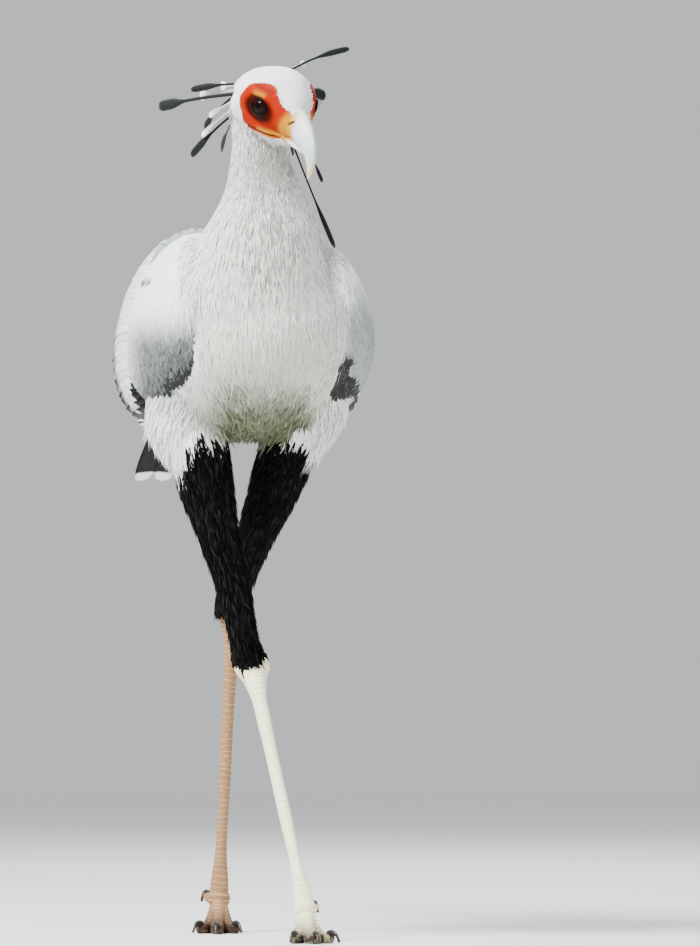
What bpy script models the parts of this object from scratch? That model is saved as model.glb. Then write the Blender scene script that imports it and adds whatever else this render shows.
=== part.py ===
"""A secretary bird, life size, walking: one leg crosses in front of the other and the head looks aside.

Metres, +Z up. The bird walks towards -Y, so its left side is at +X. The mesh points are worked out in the
bird's own frame, where Z = 0 is the ground that the toes stand on, and the empty named bird then carries
every node so that the origin is at the bottom centre of the whole bird's box.
"""

import math

import bmesh
import bpy
import numpy as np
from mathutils import Matrix, Vector

# What touching nodes keep between them
GAP = 0.0003

# The body's frame is turned about an upright line through the trunk, and the tail swings back a little
BODY_YAW = math.radians(11.0)
BODY_PIVOT_Y = 0.03
BODY_ASIDE = -0.0050

# The head: the point midway between the eyes, its turn and its nod
EYES_MIDDLE = (0.0393, -0.150, 0.9110)
HEAD_YAW = math.radians(29.0)
HEAD_NOD = math.radians(27.0)
EYE_RADIUS = 0.0120
EYE_OUT = 0.0258

# The trunk: distance behind the pivot line, height of the middle, half width, reach up, reach down
TRUNK = (
    (-0.168, 0.668, 0.022, 0.022, 0.022),
    (-0.155, 0.668, 0.056, 0.056, 0.054),
    (-0.125, 0.668, 0.086, 0.088, 0.082),
    (-0.070, 0.668, 0.106, 0.106, 0.110),
    (0.000, 0.665, 0.112, 0.112, 0.120),
    (0.070, 0.660, 0.108, 0.108, 0.115),
    (0.140, 0.655, 0.092, 0.094, 0.098),
    (0.205, 0.650, 0.068, 0.072, 0.068),
    (0.260, 0.645, 0.042, 0.047, 0.040),
    (0.292, 0.642, 0.020, 0.022, 0.018),
)

# The neck, from deep in the trunk to the skull: the middle of each section, half width, half depth
NECK = (
    (0.013, -0.050, 0.690, 0.070, 0.056),
    (0.015, -0.080, 0.750, 0.074, 0.062),
    (0.016, -0.096, 0.790, 0.060, 0.054),
    (0.015, -0.105, 0.820, 0.047, 0.044),
    (0.012, -0.109, 0.850, 0.038, 0.036),
    (0.011, -0.110, 0.872, 0.033, 0.032),
    (0.014, -0.112, 0.900, 0.026, 0.027),
)

# The skull in the head's frame: distance ahead of the eyes, height of the middle, half width, reach up,
# reach down
SKULL = (
    (-0.060, 0.001, 0.012, 0.011, 0.011),
    (-0.055, 0.000, 0.029, 0.020, 0.024),
    (-0.042, 0.000, 0.041, 0.028, 0.034),
    (-0.020, 0.001, 0.0415, 0.0345, 0.039),
    (0.000, 0.000, 0.0355, 0.0350, 0.037),
    (0.014, -0.002, 0.0285, 0.0295, 0.031),
    (0.027, -0.006, 0.0205, 0.022, 0.022),
    (0.036, -0.009, 0.0135, 0.015, 0.014),
    (0.040, -0.010, 0.0060, 0.007, 0.006),
)

# The jaw under the skull, in the same frame and columns
JAW = (
    (-0.042, -0.024, 0.010, 0.008, 0.008),
    (-0.036, -0.026, 0.020, 0.014, 0.013),
    (-0.022, -0.028, 0.0255, 0.016, 0.0155),
    (0.000, -0.029, 0.0235, 0.015, 0.0160),
    (0.015, -0.028, 0.0175, 0.012, 0.0125),
    (0.026, -0.027, 0.0120, 0.009, 0.0100),
    (0.033, -0.027, 0.0065, 0.005, 0.0060),
)

# The feathered cheeks, which widen the head behind and below the bare face, in the same frame and columns
CHEEKS = (
    (-0.054, -0.010, 0.018, 0.014, 0.014),
    (-0.046, -0.012, 0.0380, 0.022, 0.026),
    (-0.034, -0.014, 0.0455, 0.026, 0.031),
    (-0.020, -0.017, 0.0400, 0.025, 0.029),
    (-0.005, -0.019, 0.0315, 0.020, 0.025),
    (0.008, -0.020, 0.0245, 0.016, 0.0215),
    (0.018, -0.021, 0.0170, 0.011, 0.0165),
    (0.025, -0.022, 0.0070, 0.005, 0.0070),
)

# The upper bill's middle line and its sections: ahead, up, half width, half depth
UPPER_BILL = (
    (0.022, -0.0040, 0.0165, 0.0165),
    (0.036, -0.0052, 0.0150, 0.0175),
    (0.050, -0.0080, 0.0122, 0.0165),
    (0.063, -0.0125, 0.0097, 0.0143),
    (0.0745, -0.0198, 0.0072, 0.0104),
    (0.0810, -0.0300, 0.0050, 0.0065),
    (0.0832, -0.0400, 0.0027, 0.0034),
    (0.0832, -0.0480, 0.0009, 0.0010),
)
LOWER_BILL = (
    (0.020, -0.0285, 0.0135, 0.0080),
    (0.034, -0.0288, 0.0116, 0.0072),
    (0.046, -0.0288, 0.0090, 0.0062),
    (0.056, -0.0290, 0.0064, 0.0050),
    (0.064, -0.0295, 0.0038, 0.0034),
    (0.068, -0.0300, 0.0012, 0.0012),
)
NOSTRIL = (0.0415, 0.0135, -0.0010)
MOUTH_CORNER = (-0.019, -0.0240)

# Crest quills that hang from the nape. Root in the head's frame (ahead, left, up), tip in the bird's
# frame, length of the blade, half width of the blade
CREST = (
    ((-0.043, -0.029, -0.006), (-0.0995, -0.085, 0.9120), 0.034, 0.0062),
    ((-0.042, -0.027, 0.006), (-0.0640, -0.100, 0.9300), 0.032, 0.0042),
    ((-0.038, -0.027, -0.018), (-0.0640, -0.080, 0.8580), 0.040, 0.0046),
    ((-0.034, 0.018, 0.028), (0.1095, -0.090, 0.9755), 0.045, 0.0034),
    ((-0.043, 0.024, 0.006), (0.0835, -0.060, 0.9240), 0.024, 0.0060),
    ((-0.042, 0.026, -0.012), (0.0800, -0.062, 0.8300), 0.022, 0.0026),
    ((-0.048, 0.014, -0.012), (0.0935, -0.104, 0.7570), 0.060, 0.0026),
    ((-0.050, -0.008, 0.012), (-0.0100, 0.010, 0.9270), 0.034, 0.0062),
    ((-0.051, 0.004, 0.004), (0.0300, 0.020, 0.8920), 0.036, 0.0062),
    ((-0.050, -0.012, -0.004), (-0.0320, 0.012, 0.8670), 0.036, 0.0062),
    ((-0.050, 0.010, -0.010), (0.0120, 0.022, 0.8320), 0.040, 0.0060),
    ((-0.048, -0.016, -0.014), (-0.0480, -0.010, 0.8120), 0.036, 0.0058),
)
QUILL_HALF = 0.0009

# White-feathered thighs: middle, half width, half depth. The black shanks run from inside them to the
# ankles. Right is the leg that reaches forward and crosses over, left is the one behind.
RIGHT_THIGH = (
    (-0.055, -0.004, 0.660, 0.030, 0.040),
    (-0.060, -0.006, 0.630, 0.046, 0.056),
    (-0.068, -0.006, 0.590, 0.049, 0.062),
    (-0.074, -0.002, 0.560, 0.043, 0.054),
    (-0.078, 0.004, 0.536, 0.031, 0.038),
    (-0.081, 0.008, 0.521, 0.014, 0.018),
)
LEFT_THIGH = (
    (0.050, -0.004, 0.660, 0.030, 0.040),
    (0.058, -0.008, 0.630, 0.047, 0.056),
    (0.064, -0.010, 0.595, 0.049, 0.060),
    (0.062, -0.010, 0.568, 0.042, 0.050),
    (0.058, -0.008, 0.548, 0.030, 0.036),
    (0.056, -0.006, 0.537, 0.013, 0.016),
)
RIGHT_SHANK = (
    (-0.062, -0.028, 0.580, 0.026, 0.030),
    (-0.060, -0.026, 0.562, 0.034, 0.040),
    (-0.051, -0.016, 0.510, 0.0345, 0.0400),
    (-0.037, 0.000, 0.452, 0.0268, 0.0310),
    (-0.020, 0.018, 0.393, 0.0222, 0.0250),
    (-0.008, 0.034, 0.334, 0.0192, 0.0210),
    (-0.001, 0.045, 0.303, 0.0190, 0.0205),
    (0.002, 0.048, 0.289, 0.0150, 0.0160),
)
LEFT_SHANK = (
    (0.056, -0.022, 0.588, 0.026, 0.030),
    (0.052, -0.014, 0.570, 0.034, 0.038),
    (0.039, 0.008, 0.530, 0.0345, 0.0380),
    (0.022, 0.042, 0.482, 0.0290, 0.0320),
    (0.004, 0.085, 0.438, 0.0235, 0.0260),
    (-0.010, 0.128, 0.398, 0.0185, 0.0215),
    (-0.018, 0.155, 0.373, 0.0165, 0.0190),
    (-0.020, 0.163, 0.362, 0.0130, 0.0150),
)

# Ankles, and the joints where the toes spread
RIGHT_ANKLE = (0.002, 0.047, 0.297)
LEFT_ANKLE = (-0.020, 0.163, 0.362)
RIGHT_FOOT = (0.061, -0.136, 0.040)
LEFT_FOOT = (-0.036, 0.170, 0.042)
# Along the bare leg, as a share of its length: half width and half depth
SHIN = (
    (-0.045, 0.0100, 0.0080),
    (-0.025, 0.0175, 0.0120),
    (0.000, 0.0200, 0.0135),
    (0.040, 0.0150, 0.0125),
    (0.100, 0.0098, 0.0105),
    (0.250, 0.0074, 0.0088),
    (0.600, 0.0068, 0.0080),
    (0.880, 0.0072, 0.0078),
    (0.960, 0.0100, 0.0085),
    (1.020, 0.0105, 0.0085),
)
# Each toe: name, turn from the foot's heading, reach along the ground, half width at root and at tip
TOES = (
    ("inner", -28.0, 0.043, 0.0082, 0.0058),
    ("middle", 0.0, 0.058, 0.0088, 0.0062),
    ("outer", 28.0, 0.045, 0.0082, 0.0058),
)
TOE_CENTRE_HEIGHT = 0.0056
CLAW_LENGTH = 0.021
CLAW_HALF = 0.0043
RIGHT_HEADING = math.radians(12.0)
LEFT_HEADING = math.radians(-2.0)

# A folded wing, for the left side in the body's frame: distance behind the pivot line, how far out the
# section's middle lies, its half thickness, height of the middle, half height. The section leans out
# towards its lower edge by WING_LEAN of its height, less on the right (-1) than on the left (1).
WING = (
    (-0.130, 0.086, 0.008, 0.700, 0.016),
    (-0.118, 0.086, 0.021, 0.698, 0.044),
    (-0.088, 0.083, 0.038, 0.692, 0.073),
    (-0.040, 0.078, 0.050, 0.684, 0.092),
    (0.020, 0.073, 0.058, 0.678, 0.102),
    (0.090, 0.069, 0.059, 0.672, 0.100),
    (0.160, 0.063, 0.054, 0.665, 0.090),
    (0.230, 0.055, 0.042, 0.664, 0.070),
    (0.300, 0.052, 0.024, 0.668, 0.046),
    (0.360, 0.052, 0.013, 0.671, 0.030),
    (0.430, 0.052, 0.004, 0.674, 0.014),
)
WING_LEAN = {-1: 0.17, 1: 0.25}
WING_CORE_END = 0.285

# Tiers of wing feathers: how many, the first and last root (behind, angle round the section), first and
# last length, half width, lift off the wing at the tip, slope down its way. Angle 90 is the wing's top.
WING_TIERS = (
    (5, (0.165, -50.0), (0.215, -2.0), (0.200, 0.190), 0.0180, 0.0022, 0.02),
    (7, (0.020, -72.0), (0.090, 22.0), (0.195, 0.175), 0.0210, 0.0040, 0.06),
    (4, (0.060, 40.0), (0.040, 80.0), (0.200, 0.185), 0.0200, 0.0045, 0.05),
    (6, (-0.030, -66.0), (0.000, 34.0), (0.125, 0.120), 0.0200, 0.0065, 0.08),
    (5, (-0.078, -52.0), (-0.062, 40.0), (0.090, 0.090), 0.0180, 0.0085, 0.08),
)
VANE_HALF_THICK = 0.0006
VANE_CAMBER = 0.14

# The tail: its root, droop, swing back from the body's heading, and its feathers from the middle out:
# length, half width, sideways place, height, fan angle
TAIL_ROOT = (0.0, 0.262, 0.634)
TAIL_DROOP = math.radians(13.6)
TAIL_SWING = math.radians(3.2)
TAIL_VANES = (
    (0.545, 0.0170, 0.006, 0.0075, 0.6),
    (0.330, 0.0200, 0.010, 0.0050, 1.6),
    (0.305, 0.0200, 0.014, 0.0025, 2.6),
    (0.280, 0.0190, 0.018, 0.0000, 3.6),
    (0.250, 0.0180, 0.021, -0.0025, 4.6),
    (0.215, 0.0170, 0.023, -0.0050, 5.6),
)


def named_material(name, colour, roughness):
    """A plain Principled finish."""
    made = bpy.data.materials.new(name)
    made.use_nodes = True
    shader = made.node_tree.nodes["Principled BSDF"]
    shader.inputs["Base Color"].default_value = (*colour, 1.0)
    shader.inputs["Roughness"].default_value = roughness
    return made


def rows_between(rows, places):
    """Rows of a table read at places along its first column, on a smooth curve through them."""
    table = np.array(rows, float)
    along = table[:, 0]
    slopes = np.gradient(table, along, axis=0)
    index = np.clip(np.searchsorted(along, places) - 1, 0, len(along) - 2)
    span = (along[index + 1] - along[index])[:, None]
    t = (np.asarray(places) - along[index])[:, None] / span
    first = (2 * t**3 - 3 * t**2 + 1) * table[index]
    first += (t**3 - 2 * t**2 + t) * span * slopes[index]
    second = (3 * t**2 - 2 * t**3) * table[index + 1]
    second += (t**3 - t**2) * span * slopes[index + 1]
    return first + second


def eased_places(start, end, count):
    """Places from start to end that crowd towards both ends, where a form rounds off."""
    turn = np.linspace(0.0, math.pi, count)
    even = turn / math.pi
    eased = (1 - np.cos(turn)) / 2
    return start + (end - start) * (0.5 * even + 0.5 * eased)


def refined(rows, count):
    """A path table (three for the middle, then sizes) sampled evenly along its length."""
    table = np.array(rows, float)
    steps = np.linalg.norm(np.diff(table[:, :3], axis=0), axis=1)
    along = np.concatenate([[0.0], np.cumsum(steps)])
    keyed = np.column_stack([along, table])
    return rows_between(keyed, eased_places(0.0, along[-1], count))[:, 1:]


def frames_along(middles, sideways):
    """Side and up directions square to a path, with the side nearest to the one given."""
    tangents = np.gradient(middles, axis=0)
    tangents /= np.linalg.norm(tangents, axis=1)[:, None]
    side = sideways - tangents * (tangents @ sideways)[:, None]
    side /= np.linalg.norm(side, axis=1)[:, None]
    return side, np.cross(side, tangents)


def oriented(points, triangles):
    """The same closed shape with its faces pointing out."""
    corners = points[triangles]
    volume = np.einsum("ij,ij->", corners[:, 0], np.cross(corners[:, 1], corners[:, 2]))
    return points, triangles if volume > 0 else triangles[:, ::-1]


def tube(middles, side, up, half_side, reach_up, reach_down, sides):
    """A closed form through oval sections. Each section reaches differently up and down."""
    turn = np.linspace(0.0, 2 * math.pi, sides, endpoint=False)
    across = np.cos(turn)[None, :, None] * side[:, None, :] * half_side[:, None, None]
    reach = np.where(np.sin(turn)[None, :] > 0, reach_up[:, None], reach_down[:, None])
    over = (np.sin(turn)[None, :] * reach)[:, :, None] * up[:, None, :]
    rings = middles[:, None, :] + across + over
    count = len(middles)
    points = np.concatenate([rings.reshape(-1, 3), middles[:1], middles[-1:]])
    here = np.arange(count - 1)[:, None] * sides + np.arange(sides)[None, :]
    beside = np.arange(count - 1)[:, None] * sides + (np.arange(sides)[None, :] + 1) % sides
    quads = [here, beside, beside + sides, here + sides]
    a, b, c, d = (q.reshape(-1) for q in quads)
    walls = np.concatenate([np.stack([a, b, c], 1), np.stack([a, c, d], 1)])
    edge = np.arange(sides)
    turned = (edge + 1) % sides
    first = np.stack([np.full(sides, count * sides), turned, edge], 1)
    last = (count - 1) * sides
    end = np.stack([np.full(sides, count * sides + 1), last + edge, last + turned], 1)
    return oriented(points, np.concatenate([walls, first, end]))


def path_tube(rows, count, sides, sideways, grow=0.0):
    """A tube along a path table of (x, y, z, half width, half depth)."""
    table = refined(rows, count)
    side, up = frames_along(table[:, :3], np.array(sideways, float))
    half, deep = table[:, 3] + grow, table[:, 4] + grow
    middles = table[:, :3].copy()
    middles[0] -= grow * np.cross(up[0], side[0])
    middles[-1] += grow * np.cross(up[-1], side[-1])
    return tube(middles, side, up, half, deep, deep, sides)


def vane(path, across, normal, half_width, half_thick, camber=0.0):
    """A feather's blade: a thin strip bent along its keel that ends in a point, with both faces split
    alike."""
    left = path - (across + camber * normal) * half_width[:, None]
    right = path + (across - camber * normal) * half_width[:, None]
    top = path + normal * half_thick[:, None]
    under = path - normal * half_thick[:, None]
    body = np.stack([left, top, right, under], axis=1)[:-1]
    points = np.concatenate([body.reshape(-1, 3), path[-1:]])
    tip = len(body) * 4
    triangles = [(1, 0, 3), (1, 3, 2)]
    for near in range(0, tip - 4, 4):
        far = near + 4
        for edge, keel in ((0, 1), (2, 3)):
            triangles.append((near + edge, near + keel, far + keel))
            triangles.append((near + edge, far + keel, far + edge))
        for edge, keel in ((2, 1), (0, 3)):
            triangles.append((near + keel, near + edge, far + keel))
            triangles.append((near + edge, far + edge, far + keel))
    for i in range(4):
        triangles.append((tip - 4 + i, tip - 4 + (i + 1) % 4, tip))
    return oriented(points, np.array(triangles))


def mesh_object(name, shape, collection=None):
    """A Blender object from points and triangles."""
    points, triangles = shape
    mesh = bpy.data.meshes.new(name)
    mesh.from_pydata(points.tolist(), [], triangles.tolist())
    made = bpy.data.objects.new(name, mesh)
    (collection or bpy.context.scene.collection).objects.link(made)
    return made


def largest_surface(mesh):
    """Keeps only the closed surface that holds the most volume."""
    work = bmesh.new()
    work.from_mesh(mesh)
    bmesh.ops.triangulate(work, faces=work.faces[:])
    left = set(work.faces)
    surfaces = []
    while left:
        found = {left.pop()}
        edge = list(found)
        while edge:
            face = edge.pop()
            for side in face.edges:
                for other in side.link_faces:
                    if other in left:
                        left.discard(other)
                        found.add(other)
                        edge.append(other)
        volume = 0.0
        for face in found:
            a, b, c = (v.co for v in face.verts)
            volume += a.dot(b.cross(c))
        surfaces.append((volume, found))
    keep = max(surfaces, key=lambda s: s[0])[1]
    bmesh.ops.delete(work, geom=[f for f in work.faces if f not in keep], context="FACES")
    work.to_mesh(mesh)
    work.free()


def combine(base, shapes, operation):
    """Joins shapes to base, or cuts them from it, in one Boolean that is then applied."""
    if not shapes:
        return base
    others = bpy.data.collections.new("others")
    bpy.context.scene.collection.children.link(others)
    made = [mesh_object("other", shape, others) for shape in shapes]
    modifier = base.modifiers.new("combine", "BOOLEAN")
    modifier.operation = operation
    modifier.operand_type = "COLLECTION"
    modifier.collection = others
    modifier.solver = "MANIFOLD"
    graph = bpy.context.evaluated_depsgraph_get()
    result = bpy.data.meshes.new_from_object(base.evaluated_get(graph))
    base.modifiers.clear()
    base.data = result
    for other in made:
        bpy.data.objects.remove(other)
    bpy.data.collections.remove(others)
    largest_surface(base.data)
    return base


def finished(node, material, sharp=35.0):
    """Gives a node its finish and smooth shading between its sharp edges."""
    node.data.materials.clear()
    node.data.materials.append(material)
    node.data.shade_smooth()
    node.data.set_sharp_from_angle(angle=math.radians(sharp))
    return node


def turn_body(points):
    """Body frame to bird frame: a turn about the upright line through the trunk."""
    c, s = math.cos(BODY_YAW), math.sin(BODY_YAW)
    x, y = points[..., 0], points[..., 1] - BODY_PIVOT_Y
    return np.stack([c * x - s * y + BODY_ASIDE, s * x + c * y + BODY_PIVOT_Y, points[..., 2]], axis=-1)


def head_axes():
    """Ahead, left and up of the head, in the bird's frame."""
    sy, cy = math.sin(HEAD_YAW), math.cos(HEAD_YAW)
    sn, cn = math.sin(HEAD_NOD), math.cos(HEAD_NOD)
    ahead = np.array([sy * cn, -cy * cn, -sn])
    left = np.array([cy, sy, 0.0])
    return ahead, left, np.cross(ahead, left)


def from_head(points):
    """Head frame (ahead, left, up of the point between the eyes) to the bird's frame."""
    return np.array(EYES_MIDDLE) + np.asarray(points, float) @ np.stack(head_axes())


def trunk_shape(grow=0.0, rings=14, sides=20):
    """The trunk as a tube through upright sections."""
    places = eased_places(TRUNK[0][0], TRUNK[-1][0], rings)
    table = rows_between(TRUNK, places)
    middles = np.stack([np.zeros(rings), table[:, 0], table[:, 1]], axis=1)
    middles[0, 1] -= grow
    middles[-1, 1] += grow
    side = np.tile([1.0, 0.0, 0.0], (rings, 1))
    up = np.tile([0.0, 0.0, 1.0], (rings, 1))
    sizes = table[:, 2:] + grow
    points, faces = tube(middles, side, up, sizes[:, 0], sizes[:, 1], sizes[:, 2], sides)
    return oriented(turn_body(points), faces)


def neck_shape(grow=0.0):
    """The neck as a tube that starts deep in the trunk and ends in the skull."""
    return path_tube(NECK, 10, 18, (1.0, 0.0, 0.0), grow)


def skull_shape(grow=0.0, rings=13, sides=18, rows=SKULL):
    """The skull, or the jaw, as a tube through sections square to the head's way ahead."""
    places = eased_places(rows[0][0], rows[-1][0], rings)
    table = rows_between(rows, places)
    middles = np.stack([table[:, 0], np.zeros(rings), table[:, 1]], axis=1)
    middles[0, 0] -= grow
    middles[-1, 0] += grow
    side = np.tile([0.0, 1.0, 0.0], (rings, 1))
    up = np.tile([0.0, 0.0, 1.0], (rings, 1))
    sizes = table[:, 2:] + grow
    points, faces = tube(middles, side, up, sizes[:, 0], sizes[:, 1], sizes[:, 2], sides)
    return oriented(from_head(points), faces)


def jaw_shape(grow=0.0):
    """The jaw that carries the lower half of the bill."""
    return skull_shape(grow, 9, 14, JAW)


def cheek_shape(grow=0.0):
    """The cheeks, full enough to meet the neck behind the corner of the mouth."""
    return skull_shape(grow, 10, 16, CHEEKS)


def head_shapes(grow=0.0):
    """Skull, jaw and cheeks, which every part beside the head is cut back to."""
    return [skull_shape(grow), jaw_shape(grow), cheek_shape(grow)]


def bill_shape(rows, grow=0.0):
    """A half of the bill, along its middle line in the head's frame."""
    table = np.array([(a, 0.0, c, w, d) for a, c, w, d in rows])
    points, faces = path_tube(table, 10, 12, (0.0, 1.0, 0.0), grow)
    return oriented(from_head(points), faces)


def ball(centre, radii, axes, rings=10, sides=16):
    """An ellipsoid with its radii along three axes, closed at both poles by one point each."""
    rise = np.linspace(-math.pi / 2, math.pi / 2, rings + 1)[1:-1]
    middles = centre + np.sin(rise)[:, None] * radii[2] * axes[2]
    side = np.tile(axes[0], (len(rise), 1))
    up = np.tile(axes[1], (len(rise), 1))
    shrink = np.cos(rise)
    points, faces = tube(middles, side, up, shrink * radii[0], shrink * radii[1], shrink * radii[1], sides)
    points[-2] = centre - radii[2] * axes[2]
    points[-1] = centre + radii[2] * axes[2]
    return oriented(points, faces)


def eye_axes(hand):
    """The way an eye looks (out and a little ahead), and the two ways square to it."""
    look = np.array([0.26, hand * 0.96, -0.04])
    look /= np.linalg.norm(look)
    level = np.cross(look, [0.0, 0.0, 1.0])
    level /= np.linalg.norm(level)
    frame = np.stack(head_axes())
    return [v @ frame for v in (level, np.cross(level, look), look)]


def eye_centre(hand):
    """The middle of an eyeball in the bird's frame."""
    return from_head([0.001, hand * EYE_OUT, 0.0])


def build_head(material):
    """Skull, lids round the eyes, crest quills, then the sockets, the eye openings and the mouth line."""
    head = mesh_object("head", skull_shape())
    lids, openings = [], []
    for hand in (-1, 1):
        axes = eye_axes(hand)
        centre = eye_centre(hand)
        lid = EYE_RADIUS + 0.0016
        lids.append(ball(centre, (lid, lid, lid), axes, 8, 14))
        wide, tall = 0.0104, 0.0086
        front = centre + axes[2] * 0.0145
        openings.append(ball(front, (wide, tall, 0.0145), axes, 6, 14))
        socket = EYE_RADIUS + GAP
        openings.append(ball(centre, (socket, socket, socket), axes, 8, 14))
        openings.append(mouth_groove(hand))
    combine(head, [jaw_shape(), cheek_shape(), *lids, *(quill(*row) for row in CREST)], "UNION")
    combine(head, openings, "DIFFERENCE")
    return finished(head, material)


def mouth_groove(hand):
    """A shallow wedge that carries the line of the mouth back from the bill to under the eye."""
    places = np.linspace(MOUTH_CORNER[0], 0.033, 6)
    drop = MOUTH_CORNER[1] - (places - MOUTH_CORNER[0]) * 0.05
    cheek = rows_between(CHEEKS, np.minimum(places, CHEEKS[-1][0]))[:, 2]
    out = np.maximum(rows_between(JAW, places)[:, 2], cheek) * 0.95
    path = np.stack([places, hand * out, drop], axis=1)
    across = np.tile([0.0, hand * 1.0, -0.35], (6, 1))
    across /= np.linalg.norm(across[0])
    normal = np.tile([0.0, 0.35 * hand, 1.0], (6, 1))
    normal /= np.linalg.norm(normal[0])
    points, faces = vane(path, across, normal, np.full(6, 0.0095), np.full(6, 0.0007))
    return oriented(from_head(points), faces)


def quill(root, tip, blade, half_width):
    """A crest feather: a thin stem that widens into a paddle near its tip."""
    start = from_head(root)
    inside = from_head(np.array(root) * np.array([0.72, 0.72, 0.72]))
    end = np.array(tip)
    length = np.linalg.norm(end - start)
    way = (end - start) / length
    out = (start - inside) / np.linalg.norm(start - inside)
    bow = (out - way * (out @ way)) * length * 0.05
    part = blade / length
    shares = np.array([0.0, 0.35, 1 - part, 1 - 0.62 * part, 1 - 0.2 * part, 1.0])
    path = start + (end - start) * shares[:, None] + bow * np.sin(shares * math.pi)[:, None]
    path = np.concatenate([[inside], path])
    upright = np.array([0.0, 0.0, 1.0])
    across = upright - way * way[2]
    across /= np.linalg.norm(across)
    normal = np.cross(way, across)
    half = np.array([QUILL_HALF, QUILL_HALF, QUILL_HALF, 0.0013, half_width * 0.8, half_width, 0.0])
    thick = np.array([QUILL_HALF, QUILL_HALF, QUILL_HALF, 0.0009, 0.0008, 0.0007, 0.0])
    turns = len(path)
    return vane(path, np.tile(across, (turns, 1)), np.tile(normal, (turns, 1)), half, thick)


def build_bill(material):
    """Both halves of the bill, with the nostril slits, parted by the line of the mouth."""
    upper = mesh_object("bill_upper", bill_shape(UPPER_BILL))
    axes = np.stack(head_axes())
    long_way = np.array([0.80, 0.0, 0.60]) @ axes
    through = np.array([0.0, 1.0, 0.0]) @ axes
    ways = [long_way, through, np.cross(long_way, through)]
    ahead, out, rise = NOSTRIL
    slits = []
    for hand in (-1, 1):
        centre = from_head([ahead, hand * out, rise])
        slits.append(ball(centre, (0.0036, 0.0030, 0.0012), ways, 6, 8))
    combine(upper, [*head_shapes(GAP), *slits], "DIFFERENCE")
    lower = mesh_object("bill_lower", bill_shape(LOWER_BILL))
    combine(lower, [*head_shapes(GAP), bill_shape(UPPER_BILL, GAP)], "DIFFERENCE")
    return finished(upper, material), finished(lower, material)


def build_neck(material):
    """The neck, cut back to the trunk and the skull."""
    neck = mesh_object("neck", neck_shape())
    combine(neck, [trunk_shape(GAP), *head_shapes(GAP)], "DIFFERENCE")
    return finished(neck, material)


def wing_section(behind):
    """Out, half thickness, height, half height of the wing's section at each distance behind."""
    return rows_between(WING, np.clip(behind, WING[0][0], WING[-1][0]))[:, 1:]


def wing_point(behind, angle, lift, hand):
    """Points on the folded wing in the body's frame, with the way out of its surface at each."""
    behind = np.asarray(behind, float)
    out, thick, height, half = wing_section(behind).T
    turn = np.radians(angle)
    c, s = np.cos(turn), np.sin(turn)
    lean = WING_LEAN[hand]
    x = out + thick * c - lean * half * s
    z = height + half * s
    normal = np.stack([c / np.maximum(thick, 0.01), 0 * c, s / np.maximum(half, 0.01)], axis=1)
    normal[:, 0] += 0.4 * lean * normal[:, 2]
    normal /= np.linalg.norm(normal, axis=1)[:, None]
    points = np.stack([x, behind, z], axis=1) + normal * np.asarray(lift)[:, None]
    flip = np.array([hand, 1.0, 1.0])
    return points * flip, normal * flip


def wing_core(hand, grow=0.0, rings=12, sides=14):
    """The wing's fleshy and covert-clad mass, a tube through the wing's sections."""
    places = eased_places(WING[0][0], WING_CORE_END, rings)
    table = wing_section(places)
    middles = np.stack([hand * table[:, 0], places, table[:, 2]], axis=1)
    side = np.tile([hand * 1.0, 0.0, 0.0], (rings, 1))
    up = np.tile([-hand * WING_LEAN[hand], 0.0, 1.0], (rings, 1))
    thick, half = table[:, 1] + grow, table[:, 3] + grow
    points, faces = tube(middles, side, up, thick, half, half, sides)
    return oriented(turn_body(points), faces)


def wing_vane(behind, angle, length, half_width, lift, slope, hand):
    """One wing feather: it leaves the wing at its root and runs back along it, lifting to its tip."""
    shares = np.array([-0.10, 0.12, 0.55, 0.90, 1.0])
    back = behind + length * shares
    section = wing_section(back)
    dip = np.degrees(slope * length * np.clip(shares, 0, 1) / np.maximum(section[:, 3], 0.03))
    rise = np.array([-0.012, -0.0015, 0.7 * lift, lift, lift])
    path, normal = wing_point(back, angle - dip, rise, hand)
    tangent = np.gradient(path, axis=0)
    tangent /= np.linalg.norm(tangent, axis=1)[:, None]
    across = np.cross(normal, tangent)
    across /= np.linalg.norm(across, axis=1)[:, None]
    tilt = 0.11 * hand
    across = across + tilt * normal
    half = half_width * np.array([0.25, 0.75, 1.0, 0.75, 0.0])
    thick = VANE_HALF_THICK * np.array([1.3, 1.3, 1.1, 0.9, 0.0])
    points, faces = vane(path, across, normal, half, thick, VANE_CAMBER)
    return oriented(turn_body(points), faces)


def wing_feathers(hand):
    """Every tier of one wing, from the flight feathers underneath to the coverts on top."""
    made = []
    for count, first, last, lengths, half_width, lift, slope in WING_TIERS:
        for i in range(count):
            share = i / (count - 1)
            behind = first[0] + (last[0] - first[0]) * share
            angle = first[1] + (last[1] - first[1]) * share
            length = lengths[0] + (lengths[1] - lengths[0]) * share
            step = lift + 0.0003 * (i % 2)
            made.append(wing_vane(behind, angle, length, half_width, step, slope, hand))
    return made


def build_wing(name, hand, thigh, material):
    """A folded wing: its mass with every feather sunk into it, parted from what it lies against."""
    wing = mesh_object(name, wing_core(hand))
    combine(wing, wing_feathers(hand), "UNION")
    around = [trunk_shape(GAP), thigh, neck_shape(GAP), tail_space()]
    combine(wing, around, "DIFFERENCE")
    return finished(wing, material)


def tail_frame(points):
    """Tail frame (across, along, up) to the bird's frame: droop, swing and the body's own turn."""
    droop = Matrix.Rotation(-TAIL_DROOP, 3, "X")
    swing = Matrix.Rotation(-TAIL_SWING, 3, "Z")
    turned = np.asarray(points) @ np.array(swing @ droop).T
    return turn_body(turned + np.array(TAIL_ROOT))


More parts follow.
